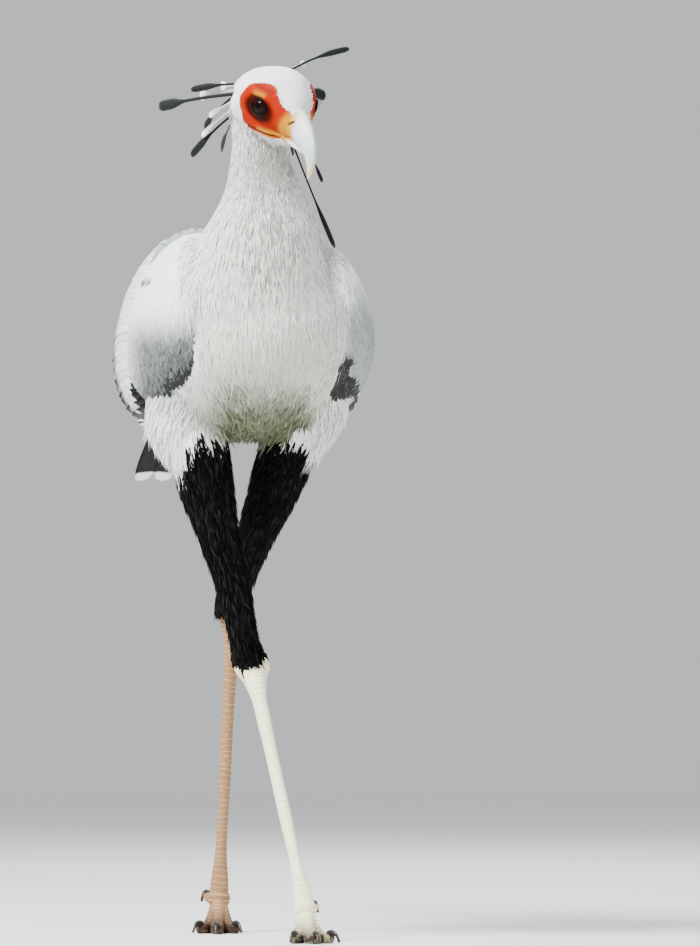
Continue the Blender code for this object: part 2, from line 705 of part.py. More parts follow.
def tail_vane(length, half_width, aside, height, fan, hand):
    """One tail feather, from inside the tail's root."""
    shares = np.array([-0.02, 0.12, 0.50, 0.92, 1.0])
    angle = math.radians(fan) * hand
    along = length * shares
    x = hand * aside * np.clip(0.35 + shares * 4, 0.35, 1.0) + along * math.sin(angle)
    z = height * np.clip(0.3 + shares * 5, 0.3, 1.0) - 0.035 * (length * shares) ** 2
    path = np.stack([x, along * math.cos(angle), z], axis=1)
    count = len(path)
    across = np.tile([1.0, 0.0, -0.10 * hand], (count, 1))
    normal = np.tile([0.10 * hand, 0.0, 1.0], (count, 1))
    half = half_width * np.array([0.30, 0.65, 1.0, 0.75, 0.0])
    thick = VANE_HALF_THICK * np.array([1.4, 1.4, 1.2, 0.9, 0.0])
    points, faces = vane(path, across, normal, half, thick)
    return oriented(tail_frame(points), faces)


def tail_space():
    """The room that the tail's root and the spread of its feathers take up between the wings."""
    rows = (
        (0.0, -0.031, 0.000, 0.0275, 0.0230),
        (0.0, 0.020, 0.001, 0.0480, 0.0200),
        (0.0, 0.080, 0.001, 0.0540, 0.0150),
        (0.0, 0.160, -0.001, 0.0590, 0.0120),
        (0.0, 0.250, -0.002, 0.0620, 0.0120),
    )
    points, faces = path_tube(rows, 7, 12, (1.0, 0.0, 0.0), GAP)
    return oriented(tail_frame(points), faces)


def build_tail(material):
    """The tail's root, ringed by its coverts, and twelve feathers, the middle pair far the longest."""
    root_rows = (
        (0.0, -0.030, 0.000, 0.026, 0.022),
        (0.0, 0.010, 0.001, 0.036, 0.020),
        (0.0, 0.060, 0.001, 0.038, 0.014),
        (0.0, 0.105, 0.001, 0.034, 0.009),
        (0.0, 0.130, 0.001, 0.020, 0.004),
    )
    points, faces = path_tube(root_rows, 8, 14, (1.0, 0.0, 0.0))
    tail = mesh_object("tail", oriented(tail_frame(points), faces))
    vanes = [tail_vane(*row, hand) for row in TAIL_VANES for hand in (-1, 1)]
    combine(tail, vanes, "UNION")
    combine(tail, [trunk_shape(GAP)], "DIFFERENCE")
    return finished(tail, material)


def shin_shape(ankle, foot, heading, grow=0.0):
    """The bare scaled leg from the ankle's knuckle to the joint of the toes."""
    ankle, foot = np.array(ankle), np.array(foot)
    rows = [(*(ankle + (foot - ankle) * share), wide, deep) for share, wide, deep in SHIN]
    return path_tube(rows, 13, 12, (math.cos(heading), math.sin(heading), 0.0), grow)


def toe_rows(foot, heading, turn, reach, root_half, tip_half):
    """A toe's middle line: down from the joint, then along the ground with its pads swelling."""
    angle = heading + math.radians(turn)
    way = np.array([math.sin(angle), -math.cos(angle), 0.0])
    start = np.array(foot)
    low = TOE_CENTRE_HEIGHT
    spots = (
        (0.00, 0.78, 1.05),
        (0.16, 0.52, 1.0),
        (0.36, 0.22, 0.98),
        (0.55, 0.0, 1.08),
        (0.72, 0.0, 0.92),
        (0.90, 0.0, 1.10),
        (1.0, 0.03, 0.75),
    )
    rows = []
    for share, height, swell in spots:
        half = (root_half + (tip_half - root_half) * share) * swell
        middle = start + way * reach * share
        middle[2] = low + (start[2] - low) * height
        rows.append((*middle, half, half))
    return rows, way


def hallux_rows(foot, heading, hand):
    """The short hind toe, carried clear of the ground, and the way it points."""
    angle = heading + math.radians(180.0 + 34.0 * hand)
    way = np.array([math.sin(angle), -math.cos(angle), 0.12])
    way /= np.linalg.norm(way)
    start = np.array(foot) + np.array([0.0, 0.0, -0.006])
    spots = ((0.0, 0.0075), (0.4, 0.0070), (0.75, 0.0062), (1.0, 0.0045))
    rows = [(*(start + way * 0.026 * share), half, half) for share, half in spots]
    return rows, way


def claw_rows(toe, way, dip):
    """A claw that leaves the end of a toe and curls down."""
    end = np.array(toe[-1][:3]) - way * 0.004
    rows = []
    for share in np.linspace(0.0, 1.0, 6):
        turn = math.radians(dip) * share
        reach = CLAW_LENGTH * (math.sin(turn) / max(math.radians(dip), 1e-6) if share else 0.0)
        fall = CLAW_LENGTH * (1 - math.cos(turn)) / math.radians(dip)
        half = CLAW_HALF * (1 - share) ** 0.75 + 0.0005
        lift = 0.0035 * math.sin(share * math.pi * 0.8)
        middle = end + way * reach + np.array([0.0, 0.0, 0.002 + lift - fall])
        rows.append((*middle, half * 0.8, half))
    return rows


def ground_block(below):
    """A block whose top is the ground, under one foot: what it cuts away leaves the soles flat."""
    corners = [(x, y, z) for z in (-0.05, 0.0) for y in (-0.2, 0.2) for x in (-0.2, 0.2)]
    faces = [(0, 2, 3), (0, 3, 1), (4, 5, 7), (4, 7, 6), (0, 1, 5), (0, 5, 4)]
    faces += [(2, 6, 7), (2, 7, 3), (0, 4, 6), (0, 6, 2), (1, 3, 7), (1, 7, 5)]
    return oriented(np.array(corners) + below * np.array([1, 1, 0]), np.array(faces))


def build_foot(side, ankle, foot, heading, hand, material, claw_material):
    """A foot on the ground: the joint, three front toes, the hind toe, and a claw on each."""
    legs = np.array(foot)
    across = (math.cos(heading), math.sin(heading), 0.0)
    toes = [(name, *toe_rows(foot, heading, *rest)) for name, *rest in TOES]
    toes.append(("hind", *hallux_rows(foot, heading, hand)))
    pad_axes = [np.array([1.0, 0, 0]), np.array([0, 1.0, 0]), np.array([0, 0, 1.0])]
    pad = ball(legs + np.array([0, 0, -0.004]), (0.0125, 0.0110, 0.0120), pad_axes, 6, 12)
    base = mesh_object("foot_" + side, pad)
    toe_shapes = [path_tube(rows, 8, 8, across) for _, rows, _ in toes]
    combine(base, toe_shapes, "UNION")
    floor = ground_block(legs)
    combine(base, [shin_shape(ankle, foot, heading, GAP), floor], "DIFFERENCE")
    finished(base, material)
    for name, rows, way in toes:
        dip = 78.0 if name == "hind" else 62.0
        curl = path_tube(claw_rows(rows, way, dip), 7, 7, np.cross(way, [0.0, 0.0, 1.0]))
        claw = mesh_object(f"claw_{side}_{name}", curl)
        grown = path_tube(rows, 8, 8, across, GAP)
        combine(claw, [grown, floor], "DIFFERENCE")
        finished(claw, claw_material)
    return base


def build_leg(side, thigh_rows, shank_rows, ankle, foot, heading, hand, finishes):
    """One leg: white thigh, black shank, bare shin, foot and claws, each parted from what carries it."""
    white, black, scaled, horn = finishes
    across = (1.0, 0.0, 0.0)
    thigh = mesh_object("thigh_" + side, path_tube(thigh_rows, 8, 16, across))
    combine(thigh, [trunk_shape(GAP)], "DIFFERENCE")
    finished(thigh, white)
    shank = mesh_object("shank_" + side, path_tube(shank_rows, 10, 14, across))
    combine(shank, [trunk_shape(GAP), path_tube(thigh_rows, 8, 16, across, GAP)], "DIFFERENCE")
    finished(shank, black)
    shin = mesh_object("shin_" + side, shin_shape(ankle, foot, heading))
    combine(shin, [path_tube(shank_rows, 10, 14, across, GAP)], "DIFFERENCE")
    finished(shin, scaled)
    build_foot(side, ankle, foot, heading, hand, scaled, horn)


def centre_on_origin():
    """Hangs every node on one empty that puts the bottom centre of their common box at the origin."""
    corners = [o.matrix_world @ v.co for o in bpy.data.objects if o.type == "MESH" for v in o.data.vertices]
    low = Vector(map(min, zip(*corners)))
    high = Vector(map(max, zip(*corners)))
    bird = bpy.data.objects.new("bird", None)
    bpy.context.scene.collection.objects.link(bird)
    bird.location = (-(low.x + high.x) / 2, -(low.y + high.y) / 2, 0.0)
    for node in bpy.data.objects:
        if node.type == "MESH":
            node.parent = bird


def main():
    """Builds every node in an empty scene."""
    for old in list(bpy.data.objects):
        bpy.data.objects.remove(old)
    white = named_material("white_feather", (0.86, 0.87, 0.86), 0.75)
    grey = named_material("grey_feather", (0.62, 0.65, 0.68), 0.65)
    black = named_material("black_feather", (0.018, 0.018, 0.022), 0.6)
    face = named_material("face_skin", (0.86, 0.22, 0.05), 0.5)
    horn = named_material("bill_horn", (0.62, 0.68, 0.70), 0.35)
    claw = named_material("claw_horn", (0.03, 0.028, 0.026), 0.35)
    scaled = named_material("leg_scale", (0.80, 0.70, 0.58), 0.5)
    eye = named_material("eye_surface", (0.05, 0.02, 0.012), 0.08)

    finished(mesh_object("torso", trunk_shape()), white)
    build_neck(white)
    build_head(face)
    build_bill(horn)
    for side, hand in (("right", -1), ("left", 1)):
        radii = (EYE_RADIUS, EYE_RADIUS, EYE_RADIUS)
        finished(mesh_object("eye_" + side, ball(eye_centre(hand), radii, eye_axes(hand), 8, 14)), eye)
    finishes = (white, black, scaled, claw)
    build_leg("right", RIGHT_THIGH, RIGHT_SHANK, RIGHT_ANKLE, RIGHT_FOOT, RIGHT_HEADING, -1, finishes)
    build_leg("left", LEFT_THIGH, LEFT_SHANK, LEFT_ANKLE, LEFT_FOOT, LEFT_HEADING, 1, finishes)
    across = (1.0, 0.0, 0.0)
    build_wing("wing_right", -1, path_tube(RIGHT_THIGH, 8, 16, across, GAP), grey)
    build_wing("wing_left", 1, path_tube(LEFT_THIGH, 8, 16, across, GAP), grey)
    build_tail(grey)
    centre_on_origin()


main()
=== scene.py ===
"""A secretary bird, life size, in mid stride: its skin, plumage, crest, bill, eyes, legs and feet."""

import math

import bpy
import numpy as np
from mathutils.bvhtree import BVHTree
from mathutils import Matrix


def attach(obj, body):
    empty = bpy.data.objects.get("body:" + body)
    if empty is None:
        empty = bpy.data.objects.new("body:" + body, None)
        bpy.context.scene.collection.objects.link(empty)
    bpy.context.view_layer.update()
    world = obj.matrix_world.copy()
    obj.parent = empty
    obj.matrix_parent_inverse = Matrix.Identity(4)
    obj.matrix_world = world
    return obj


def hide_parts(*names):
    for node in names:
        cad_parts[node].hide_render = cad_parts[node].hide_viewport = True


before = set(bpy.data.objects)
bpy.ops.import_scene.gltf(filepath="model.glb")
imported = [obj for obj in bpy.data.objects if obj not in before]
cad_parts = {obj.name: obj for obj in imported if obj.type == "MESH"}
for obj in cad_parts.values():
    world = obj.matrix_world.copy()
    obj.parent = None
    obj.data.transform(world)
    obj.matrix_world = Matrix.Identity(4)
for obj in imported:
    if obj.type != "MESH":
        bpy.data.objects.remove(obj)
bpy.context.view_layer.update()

# The skin
# One skin covers trunk, neck, skull, jaw, wings, thighs and shanks, with no seam. It lies under the
# plumage by the depth of the coat. Oval tubes are carried along paths, fused into one closed surface
# and relaxed, and the bare face is worked finer than the rest.

# Where the bird's own frame, which starts on the ground under the trunk, sits in the model's
BIRD_PLACE = np.array([0.003786, -0.287129, 0.0])
# The body's turn from the way the bird walks, about an upright line, and its shift to the side
BODY_YAW = math.radians(11.0)
BODY_PIVOT_Y = 0.03
BODY_ASIDE = -0.0050
# The point between the eyes, and the head's turn to the bird's left and nod from there
EYES_MIDDLE = np.array([0.0393, -0.150, 0.9110])
HEAD_YAW = math.radians(29.0)
HEAD_NOD = math.radians(27.0)
# How deep the skin lies under the feathers of the body and under the head's down
COAT_DEPTH = 0.006
DOWN_DEPTH = 0.0022

# Middle of each section, half width, reach up, and reach down where it differs. The trunk is in the
# body's own frame, before its turn, and neck and legs are in the bird's
TRUNK = (
    (0, -0.168, 0.668, 0.022, 0.022, 0.022),
    (0, -0.155, 0.668, 0.056, 0.056, 0.054),
    (0, -0.125, 0.668, 0.086, 0.088, 0.082),
    (0, -0.070, 0.668, 0.106, 0.106, 0.110),
    (0, 0.000, 0.665, 0.112, 0.112, 0.120),
    (0, 0.070, 0.660, 0.108, 0.108, 0.115),
    (0, 0.140, 0.655, 0.092, 0.094, 0.098),
    (0, 0.205, 0.650, 0.068, 0.072, 0.068),
    (0, 0.260, 0.645, 0.042, 0.047, 0.040),
    (0, 0.292, 0.642, 0.020, 0.022, 0.018),
)
NECK = (
    (0.013, -0.050, 0.690, 0.070, 0.056),
    (0.015, -0.080, 0.750, 0.074, 0.062),
    (0.016, -0.096, 0.790, 0.060, 0.054),
    (0.015, -0.105, 0.820, 0.047, 0.044),
    (0.012, -0.109, 0.850, 0.038, 0.036),
    (0.011, -0.110, 0.872, 0.033, 0.032),
    (0.014, -0.112, 0.900, 0.026, 0.027),
)
# The head's forms are ahead, left and up of the point between the eyes
SKULL = (
    (-0.060, 0, 0.001, 0.012, 0.011, 0.011),
    (-0.055, 0, 0.000, 0.029, 0.020, 0.024),
    (-0.042, 0, 0.000, 0.041, 0.028, 0.034),
    (-0.020, 0, 0.001, 0.0415, 0.0345, 0.039),
    (0.000, 0, 0.000, 0.0355, 0.0350, 0.037),
    (0.014, 0, -0.002, 0.0285, 0.0295, 0.031),
    (0.027, 0, -0.006, 0.0205, 0.022, 0.022),
    (0.036, 0, -0.009, 0.0135, 0.015, 0.014),
    (0.040, 0, -0.010, 0.0060, 0.007, 0.006),
)
JAW = (
    (-0.042, 0, -0.024, 0.010, 0.008, 0.008),
    (-0.036, 0, -0.026, 0.020, 0.014, 0.013),
    (-0.022, 0, -0.028, 0.0255, 0.016, 0.0155),
    (0.000, 0, -0.029, 0.0235, 0.015, 0.0160),
    (0.015, 0, -0.028, 0.0175, 0.012, 0.0125),
    (0.026, 0, -0.027, 0.0120, 0.009, 0.0100),
    (0.033, 0, -0.027, 0.0065, 0.005, 0.0060),
)
CHEEKS = (
    (-0.054, 0, -0.010, 0.018, 0.014, 0.014),
    (-0.046, 0, -0.012, 0.0380, 0.022, 0.026),
    (-0.034, 0, -0.014, 0.0455, 0.026, 0.031),
    (-0.020, 0, -0.017, 0.0400, 0.025, 0.029),
    (-0.005, 0, -0.019, 0.0315, 0.020, 0.025),
    (0.008, 0, -0.020, 0.0245, 0.016, 0.0215),
    (0.018, 0, -0.021, 0.0170, 0.011, 0.0165),
    (0.025, 0, -0.022, 0.0070, 0.005, 0.0070),
)
RIGHT_THIGH = (
    (-0.055, -0.004, 0.660, 0.030, 0.040),
    (-0.060, -0.006, 0.630, 0.046, 0.056),
    (-0.068, -0.006, 0.590, 0.049, 0.062),
    (-0.074, -0.002, 0.560, 0.043, 0.054),
    (-0.078, 0.004, 0.536, 0.031, 0.038),
    (-0.081, 0.008, 0.521, 0.014, 0.018),
)
LEFT_THIGH = (
    (0.050, -0.004, 0.660, 0.030, 0.040),
    (0.058, -0.008, 0.630, 0.047, 0.056),
    (0.064, -0.010, 0.595, 0.049, 0.060),
    (0.062, -0.010, 0.568, 0.042, 0.050),
    (0.058, -0.008, 0.548, 0.030, 0.036),
    (0.056, -0.006, 0.537, 0.013, 0.016),
)
RIGHT_SHANK = (
    (-0.062, -0.028, 0.580, 0.026, 0.030),
    (-0.060, -0.026, 0.562, 0.034, 0.040),
    (-0.051, -0.016, 0.510, 0.0345, 0.0400),
    (-0.037, 0.000, 0.452, 0.0268, 0.0310),
    (-0.020, 0.018, 0.393, 0.0222, 0.0250),
    (-0.008, 0.034, 0.334, 0.0192, 0.0210),
    (-0.001, 0.045, 0.303, 0.0190, 0.0205),
    (0.002, 0.048, 0.289, 0.0150, 0.0160),
)
LEFT_SHANK = (
    (0.056, -0.022, 0.588, 0.026, 0.030),
    (0.052, -0.014, 0.570, 0.034, 0.038),
    (0.039, 0.008, 0.530, 0.0345, 0.0380),
    (0.022, 0.042, 0.482, 0.0290, 0.0320),
    (0.004, 0.085, 0.438, 0.0235, 0.0260),
    (-0.010, 0.128, 0.398, 0.0185, 0.0215),
    (-0.018, 0.155, 0.373, 0.0165, 0.0190),
    (-0.020, 0.163, 0.362, 0.0130, 0.0150),
)
# A folded wing, left: behind, out, half thickness, height, half height
WING = (
    (-0.130, 0.086, 0.008, 0.700, 0.016),
    (-0.118, 0.086, 0.021, 0.698, 0.044),
    (-0.088, 0.083, 0.038, 0.692, 0.073),
    (-0.040, 0.078, 0.050, 0.684, 0.092),
    (0.020, 0.073, 0.058, 0.678, 0.102),
    (0.090, 0.069, 0.059, 0.672, 0.100),
    (0.160, 0.063, 0.054, 0.665, 0.090),
    (0.230, 0.055, 0.042, 0.664, 0.070),
    (0.300, 0.052, 0.024, 0.668, 0.046),
    (0.360, 0.052, 0.013, 0.671, 0.030),
    (0.430, 0.052, 0.004, 0.674, 0.014),
)
# How far the right and the left wing lean out below, as a slope, and where the skin under them ends
WING_LEAN = {-1: 0.17, 1: 0.25}
WING_CORE_END = 0.285
TAIL_ROOT = np.array([0.0, 0.262, 0.634])
TAIL_DROOP = math.radians(13.6)
TAIL_SWING = math.radians(3.2)
# The fleshy stump that the tail feathers grow from, across, along and up of the tail
TAIL_STUMP = (
    (0.0, -0.030, 0.000, 0.026, 0.022),
    (0.0, 0.010, 0.001, 0.036, 0.020),
    (0.0, 0.060, 0.001, 0.038, 0.014),
    (0.0, 0.105, 0.001, 0.034, 0.009),
    (0.0, 0.130, 0.001, 0.020, 0.005),
)


def unit(vectors):
    """Each vector divided by its own length."""
    return vectors / np.linalg.norm(vectors, axis=-1, keepdims=True)


def smooth_step(low, high, value):
    """0 below low, 1 above high, and 3 t squared minus 2 t cubed between."""
    t = np.clip((value - low) / (high - low), 0.0, 1.0)
    return t * t * (3 - 2 * t)


def turn_body(points):
    """The body's frame turned by its yaw about the upright line through the trunk."""
    c, s = math.cos(BODY_YAW), math.sin(BODY_YAW)
    x, y = points[..., 0], points[..., 1] - BODY_PIVOT_Y
    return np.stack([c * x - s * y + BODY_ASIDE, s * x + c * y + BODY_PIVOT_Y, points[..., 2]], -1)


HEAD_AHEAD = np.array([
    math.sin(HEAD_YAW) * math.cos(HEAD_NOD),
    -math.cos(HEAD_YAW) * math.cos(HEAD_NOD),
    -math.sin(HEAD_NOD),
])
HEAD_LEFT = np.array([math.cos(HEAD_YAW), math.sin(HEAD_YAW), 0.0])
HEAD_UP = np.cross(HEAD_AHEAD, HEAD_LEFT)
HEAD_AXES = np.stack([HEAD_AHEAD, HEAD_LEFT, HEAD_UP])


def from_head(points):
    """Ahead, left and up of the point between the eyes, as a place in the bird's frame."""
    return EYES_MIDDLE + np.asarray(points, float) @ HEAD_AXES


def to_head(points):
    """The reverse of from_head: the rise along each of the head's three axes."""
    return (points - EYES_MIDDLE) @ HEAD_AXES.T


def tail_frame(points):
    """Across, along and up of the tail, drooped about its width, swung back and turned with the body."""
    c, s = math.cos(TAIL_DROOP), math.sin(TAIL_DROOP)
    x, y, z = points[..., 0], points[..., 1], points[..., 2]
    y, z = c * y + s * z, c * z - s * y
    c, s = math.cos(TAIL_SWING), math.sin(TAIL_SWING)
    x, y = c * x + s * y, c * y - s * x
    return turn_body(np.stack([x, y, z], -1) + TAIL_ROOT)


def read_table(rows, places):
    """A cubic through a table's rows, read at places along its first column. The slope at a row comes
    from the two rows beside it."""
    table = np.array(rows, float)
    along = table[:, 0]
    slopes = np.gradient(table, along, axis=0)
    i = np.clip(np.searchsorted(along, places) - 1, 0, len(along) - 2)
    span = (along[i + 1] - along[i])[:, None]
    t = (np.asarray(places) - along[i])[:, None] / span
    near = (2 * t**3 - 3 * t**2 + 1) * table[i] + (t**3 - 2 * t**2 + t) * span * slopes[i]
    far = (3 * t**2 - 2 * t**3) * table[i + 1] + (t**3 - t**2) * span * slopes[i + 1]
    return near + far


def sections(rows, count, across, place=None, shrink=0.0, upright=None):
    """Oval sections on a path: middle, side, up, way and sizes at places that crowd to both ends. The
    side is the given across made square to the path, and up is square to both unless it is given."""
    table = np.array(rows, float)
    if table.shape[1] == 5:
        table = np.column_stack([table, table[:, 4]])
    steps = np.linalg.norm(np.diff(table[:, :3], axis=0), axis=1)
    keyed = np.column_stack([np.concatenate([[0.0], np.cumsum(steps)]), table])
    turn = np.linspace(0.0, math.pi, count)
    share = 0.5 * turn / math.pi + 0.25 * (1 - np.cos(turn))
    read = read_table(keyed, share * keyed[-1, 0])[:, 1:]
    middle = read[:, :3] if place is None else place(read[:, :3])
    way = unit(np.gradient(middle, axis=0))
    side = unit(across - way * (way @ across)[:, None])
    up = np.cross(side, way) if upright is None else np.tile(unit(upright), (count, 1))
    sizes = np.maximum(read[:, 3:] - shrink, 0.0015)
    return {"middle": middle, "side": side, "up": up, "way": way, "sizes": sizes}


def rings_of(path, around):
    """Ring points: the middle, plus cos t times the half width to the side, plus sin t times the reach
    up or down."""
    t = np.linspace(0.0, 2 * math.pi, around, endpoint=False)
    sizes = path["sizes"]
    reach = np.where(np.sin(t) > 0, sizes[:, 1:2], sizes[:, 2:3]) * np.sin(t)
    across = np.cos(t)[None, :] * sizes[:, :1]
    out = across[..., None] * path["side"][:, None] + reach[..., None] * path["up"][:, None]
    return path["middle"][:, None] + out


def closed_faces(rings, around):
    """Two triangles for each cell of a tube, and a fan at each end to a pole point. The poles are the
    last two points."""
    i, j = np.meshgrid(np.arange(rings - 1), np.arange(around), indexing="ij")
    a, b = i * around + j, i * around + (j + 1) % around
    walls = np.stack([a, b, b + around, a, b + around, a + around], -1).reshape(-1, 3)
    edge = np.arange(around)
    beside = (edge + 1) % around
    pole = rings * around
    last = (rings - 1) * around
    first_fan = np.stack([np.full(around, pole), beside, edge], 1)
    last_fan = np.stack([np.full(around, pole + 1), last + edge, last + beside], 1)
    return np.concatenate([walls, first_fan, last_fan])


def faced_out(points, faces):
    """The faces of a closed surface, turned round if the volume inside them counts as negative: the sum
    over the faces of the first corner times the cross product of the other two."""
    corner = points[faces] - points.mean(0)
    volume = np.einsum("ij,ij->", corner[:, 0], np.cross(corner[:, 1], corner[:, 2]))
    return faces if volume > 0 else faces[:, ::-1]


def closed_tube(rings):
    """A ring grid as a closed surface that faces out, with a pole at the mean of each end ring."""
    points = np.concatenate([rings.reshape(-1, 3), rings[:1].mean(1), rings[-1:].mean(1)])
    return points, faced_out(points, closed_faces(*rings.shape[:2]))


def joined(surfaces):
    """Several surfaces as one list of points and one of faces, each face raised by the points before."""
    starts = np.cumsum([0] + [len(p) for p, _ in surfaces[:-1]])
    points = np.concatenate([p for p, _ in surfaces])
    return points, np.concatenate([f + start for (_, f), start in zip(surfaces, starts)])


def new_piece(name, surface, materials=(), maps=None, masks=None, facing=None):
    """A mesh object of triangles. maps holds UV coordinates and masks holds numbers, one for each
    point. facing holds the shading normals of the faces' corners, or None for the surface's own."""
    points, faces = surface
    mesh = bpy.data.meshes.new(name)
    mesh.vertices.add(len(points))
    mesh.vertices.foreach_set("co", (points + BIRD_PLACE).astype(np.float32).ravel())
    mesh.loops.add(faces.size)
    mesh.loops.foreach_set("vertex_index", faces.astype(np.int32).ravel())
    mesh.polygons.add(len(faces))
    mesh.polygons.foreach_set("loop_start", np.arange(0, faces.size, 3, dtype=np.int32))
    mesh.update(calc_edges=True)
    for key, values in (maps or {}).items():
        layer = mesh.uv_layers.new(name=key)
        layer.uv.foreach_set("vector", values[faces.ravel()].astype(np.float32).ravel())
    for key, values in (masks or {}).items():
        layer = mesh.attributes.new(key, "FLOAT", "POINT")
        layer.data.foreach_set("value", np.asarray(values, np.float32))
    mesh.shade_smooth()
    if facing is not None:
        mesh.normals_split_custom_set(facing)
    for material in materials:
        mesh.materials.append(material)
    piece = bpy.data.objects.new(name, mesh)
    bpy.context.scene.collection.objects.link(piece)
    return piece


def fused(surfaces, grain, rounds):
    """Closed forms made one surface on a grid of cubes, then relaxed: each point moves half way to the
    mean of its neighbours in each round."""
    lump = new_piece("lump", joined(surfaces))
    fuse = lump.modifiers.new("fuse", "REMESH")
    fuse.mode = "VOXEL"
    fuse.voxel_size = grain
    relax = lump.modifiers.new("relax", "SMOOTH")
    relax.factor = 0.5
    relax.iterations = rounds
    mesh = bpy.data.meshes.new_from_object(lump.evaluated_get(bpy.context.evaluated_depsgraph_get()))
    bpy.data.objects.remove(lump)
    mesh.calc_loop_triangles()
    points = np.empty(len(mesh.vertices) * 3, np.float32)
    mesh.vertices.foreach_get("co", points)
    faces = np.empty(len(mesh.loop_triangles) * 3, np.int32)
    mesh.loop_triangles.foreach_get("vertices", faces)
    bpy.data.meshes.remove(mesh)
    return points.reshape(-1, 3).astype(float) - BIRD_PLACE, faces.reshape(-1, 3)


def point_normals(points, faces):
    """At each point the sum of its faces' normals, weighted by their areas, made unit."""
    out = np.cross(points[faces[:, 1]] - points[faces[:, 0]], points[faces[:, 2]] - points[faces[:, 0]])
    total = np.zeros_like(points)
    for k in range(3):
        np.add.at(total, faces[:, k], out)
    return unit(total + 1e-12)


ACROSS = np.array([1.0, 0.0, 0.0])
BODY_LEFT = np.array([math.cos(BODY_YAW), math.sin(BODY_YAW), 0.0])
BODY_BACK = np.array([-math.sin(BODY_YAW), math.cos(BODY_YAW), 0.0])


def wing_rows(hand):
    """The wing's rows as a path in the body's frame, with its thickness to the side."""
    places = np.linspace(WING[0][0], WING_CORE_END, 24)
    read = read_table(WING, places)
    return np.column_stack([hand * read[:, 1], places, read[:, 3], read[:, 2], read[:, 4]])


# The nape fills the corner between neck and head, and the crop the one between neck and breast
NAPE = (
    (*from_head([-0.004, 0.0, -0.010]), 0.026, 0.022),
    (*from_head([-0.022, 0.0, -0.013]), 0.036, 0.030),
    (*from_head([-0.034, 0.0, -0.020]), 0.041, 0.034),
    (0.0125, -0.110, 0.868, 0.036, 0.035),
    (0.0120, -0.109, 0.846, 0.038, 0.036),
)
CROP = (
    (0.0150, -0.104, 0.815, 0.045, 0.040, 0.044),
    (0.0145, -0.104, 0.790, 0.058, 0.040, 0.052),
    (0.0120, -0.104, 0.760, 0.071, 0.040, 0.058),
    (0.0090, -0.104, 0.730, 0.080, 0.040, 0.062),
    (0.0060, -0.104, 0.700, 0.084, 0.040, 0.064),
    (0.0040, -0.104, 0.665, 0.078, 0.040, 0.060),
)
SIDES = ((-1, "right"), (1, "left"))
FORMS = {
    "trunk": sections(TRUNK, 60, BODY_LEFT, place=turn_body, shrink=COAT_DEPTH),
    "neck": sections(NECK, 60, ACROSS, shrink=COAT_DEPTH),
    "nape": sections(NAPE, 40, ACROSS, shrink=COAT_DEPTH),
    "crop": sections(CROP, 40, ACROSS, shrink=COAT_DEPTH),
    "thigh_right": sections(RIGHT_THIGH, 40, ACROSS, shrink=0.009),
    "thigh_left": sections(LEFT_THIGH, 40, ACROSS, shrink=0.009),
    "shank_right": sections(RIGHT_SHANK, 60, ACROSS, shrink=COAT_DEPTH),
    "shank_left": sections(LEFT_SHANK, 60, ACROSS, shrink=COAT_DEPTH),
    "tail": sections(TAIL_STUMP, 30, BODY_LEFT, place=tail_frame, shrink=0.003),
}
for hand, side_name in SIDES:
    lean = -WING_LEAN[hand] * hand * BODY_LEFT + np.array([0.0, 0.0, 1.0])
    FORMS[f"wing_{side_name}"] = sections(wing_rows(hand), 60, BODY_LEFT * hand, place=turn_body,
                                          shrink=0.005, upright=lean)
tubes = [closed_tube(rings_of(form, around=48)) for form in FORMS.values()]
body_points, body_faces = fused(tubes, grain=0.0042, rounds=12)

HEAD_FORMS = {
    "skull": sections(SKULL, 60, -HEAD_LEFT, place=from_head, shrink=DOWN_DEPTH),
    "jaw": sections(JAW, 40, -HEAD_LEFT, place=from_head, shrink=0.0012),
    "cheeks": sections(CHEEKS, 50, -HEAD_LEFT, place=from_head, shrink=0.0018),
}
tubes = [closed_tube(rings_of(form, around=72)) for form in HEAD_FORMS.values()]
head_points, head_faces = fused(tubes, grain=0.0009, rounds=7)

# The bare face. Its edge is a distance from the eye at each angle, 0 ahead and 90 up, seen from the side
FACE_EDGE = (
    (-30, 0.0375), (-15, 0.0385), (0, 0.0385), (14, 0.0343), (24, 0.0291), (38, 0.0267), (52, 0.0251),
    (68, 0.0261), (83, 0.0265), (99, 0.0259), (117, 0.0252), (140, 0.0258), (162, 0.0256), (190, 0.0282),
    (205, 0.0271), (218, 0.0266), (226, 0.0285), (233, 0.0318), (240, 0.0347), (246, 0.0343),
    (256, 0.0328), (270, 0.0325), (285, 0.0325), (300, 0.0350), (315, 0.0370), (330, 0.0375),
    (345, 0.0385), (360, 0.0385),
)
EYE_RADIUS = 0.0120
# From the head's middle plane to the middle of the eye
EYE_OUT = 0.0258
LID_RADIUS = 0.0133
# Half the width and half the height of the opening between the lids, and the hollow behind it
EYE_WIDE, EYE_TALL = 0.0106, 0.0088
SOCKET_RADIUS = 0.0104
# The edge of the face is measured from this far below the line between the eyes' middles
FACE_DROP = 0.001


def eye_frame(hand):
    """The eye's middle, the level line across it, its own up, and the way it looks."""
    look = unit(np.array([0.26, hand * 0.96, -0.04]))
    level = unit(np.cross(look, [0.0, 0.0, 1.0]))
    ways = np.stack([level, np.cross(level, look), look]) @ HEAD_AXES
    return from_head([0.001, hand * EYE_OUT, 0.0]), *ways


def near_line(points, start, end, width):
    """1 on the line from start to end, falling off with the square of the distance over the width."""
    start, end = np.array(start), np.array(end)
    t = np.clip((points - start) @ (end - start) / ((end - start) @ (end - start)), 0, 1)
    gap = np.linalg.norm(points - start - t[:, None] * (end - start), axis=1)
    return np.exp(-((gap / width) ** 2))


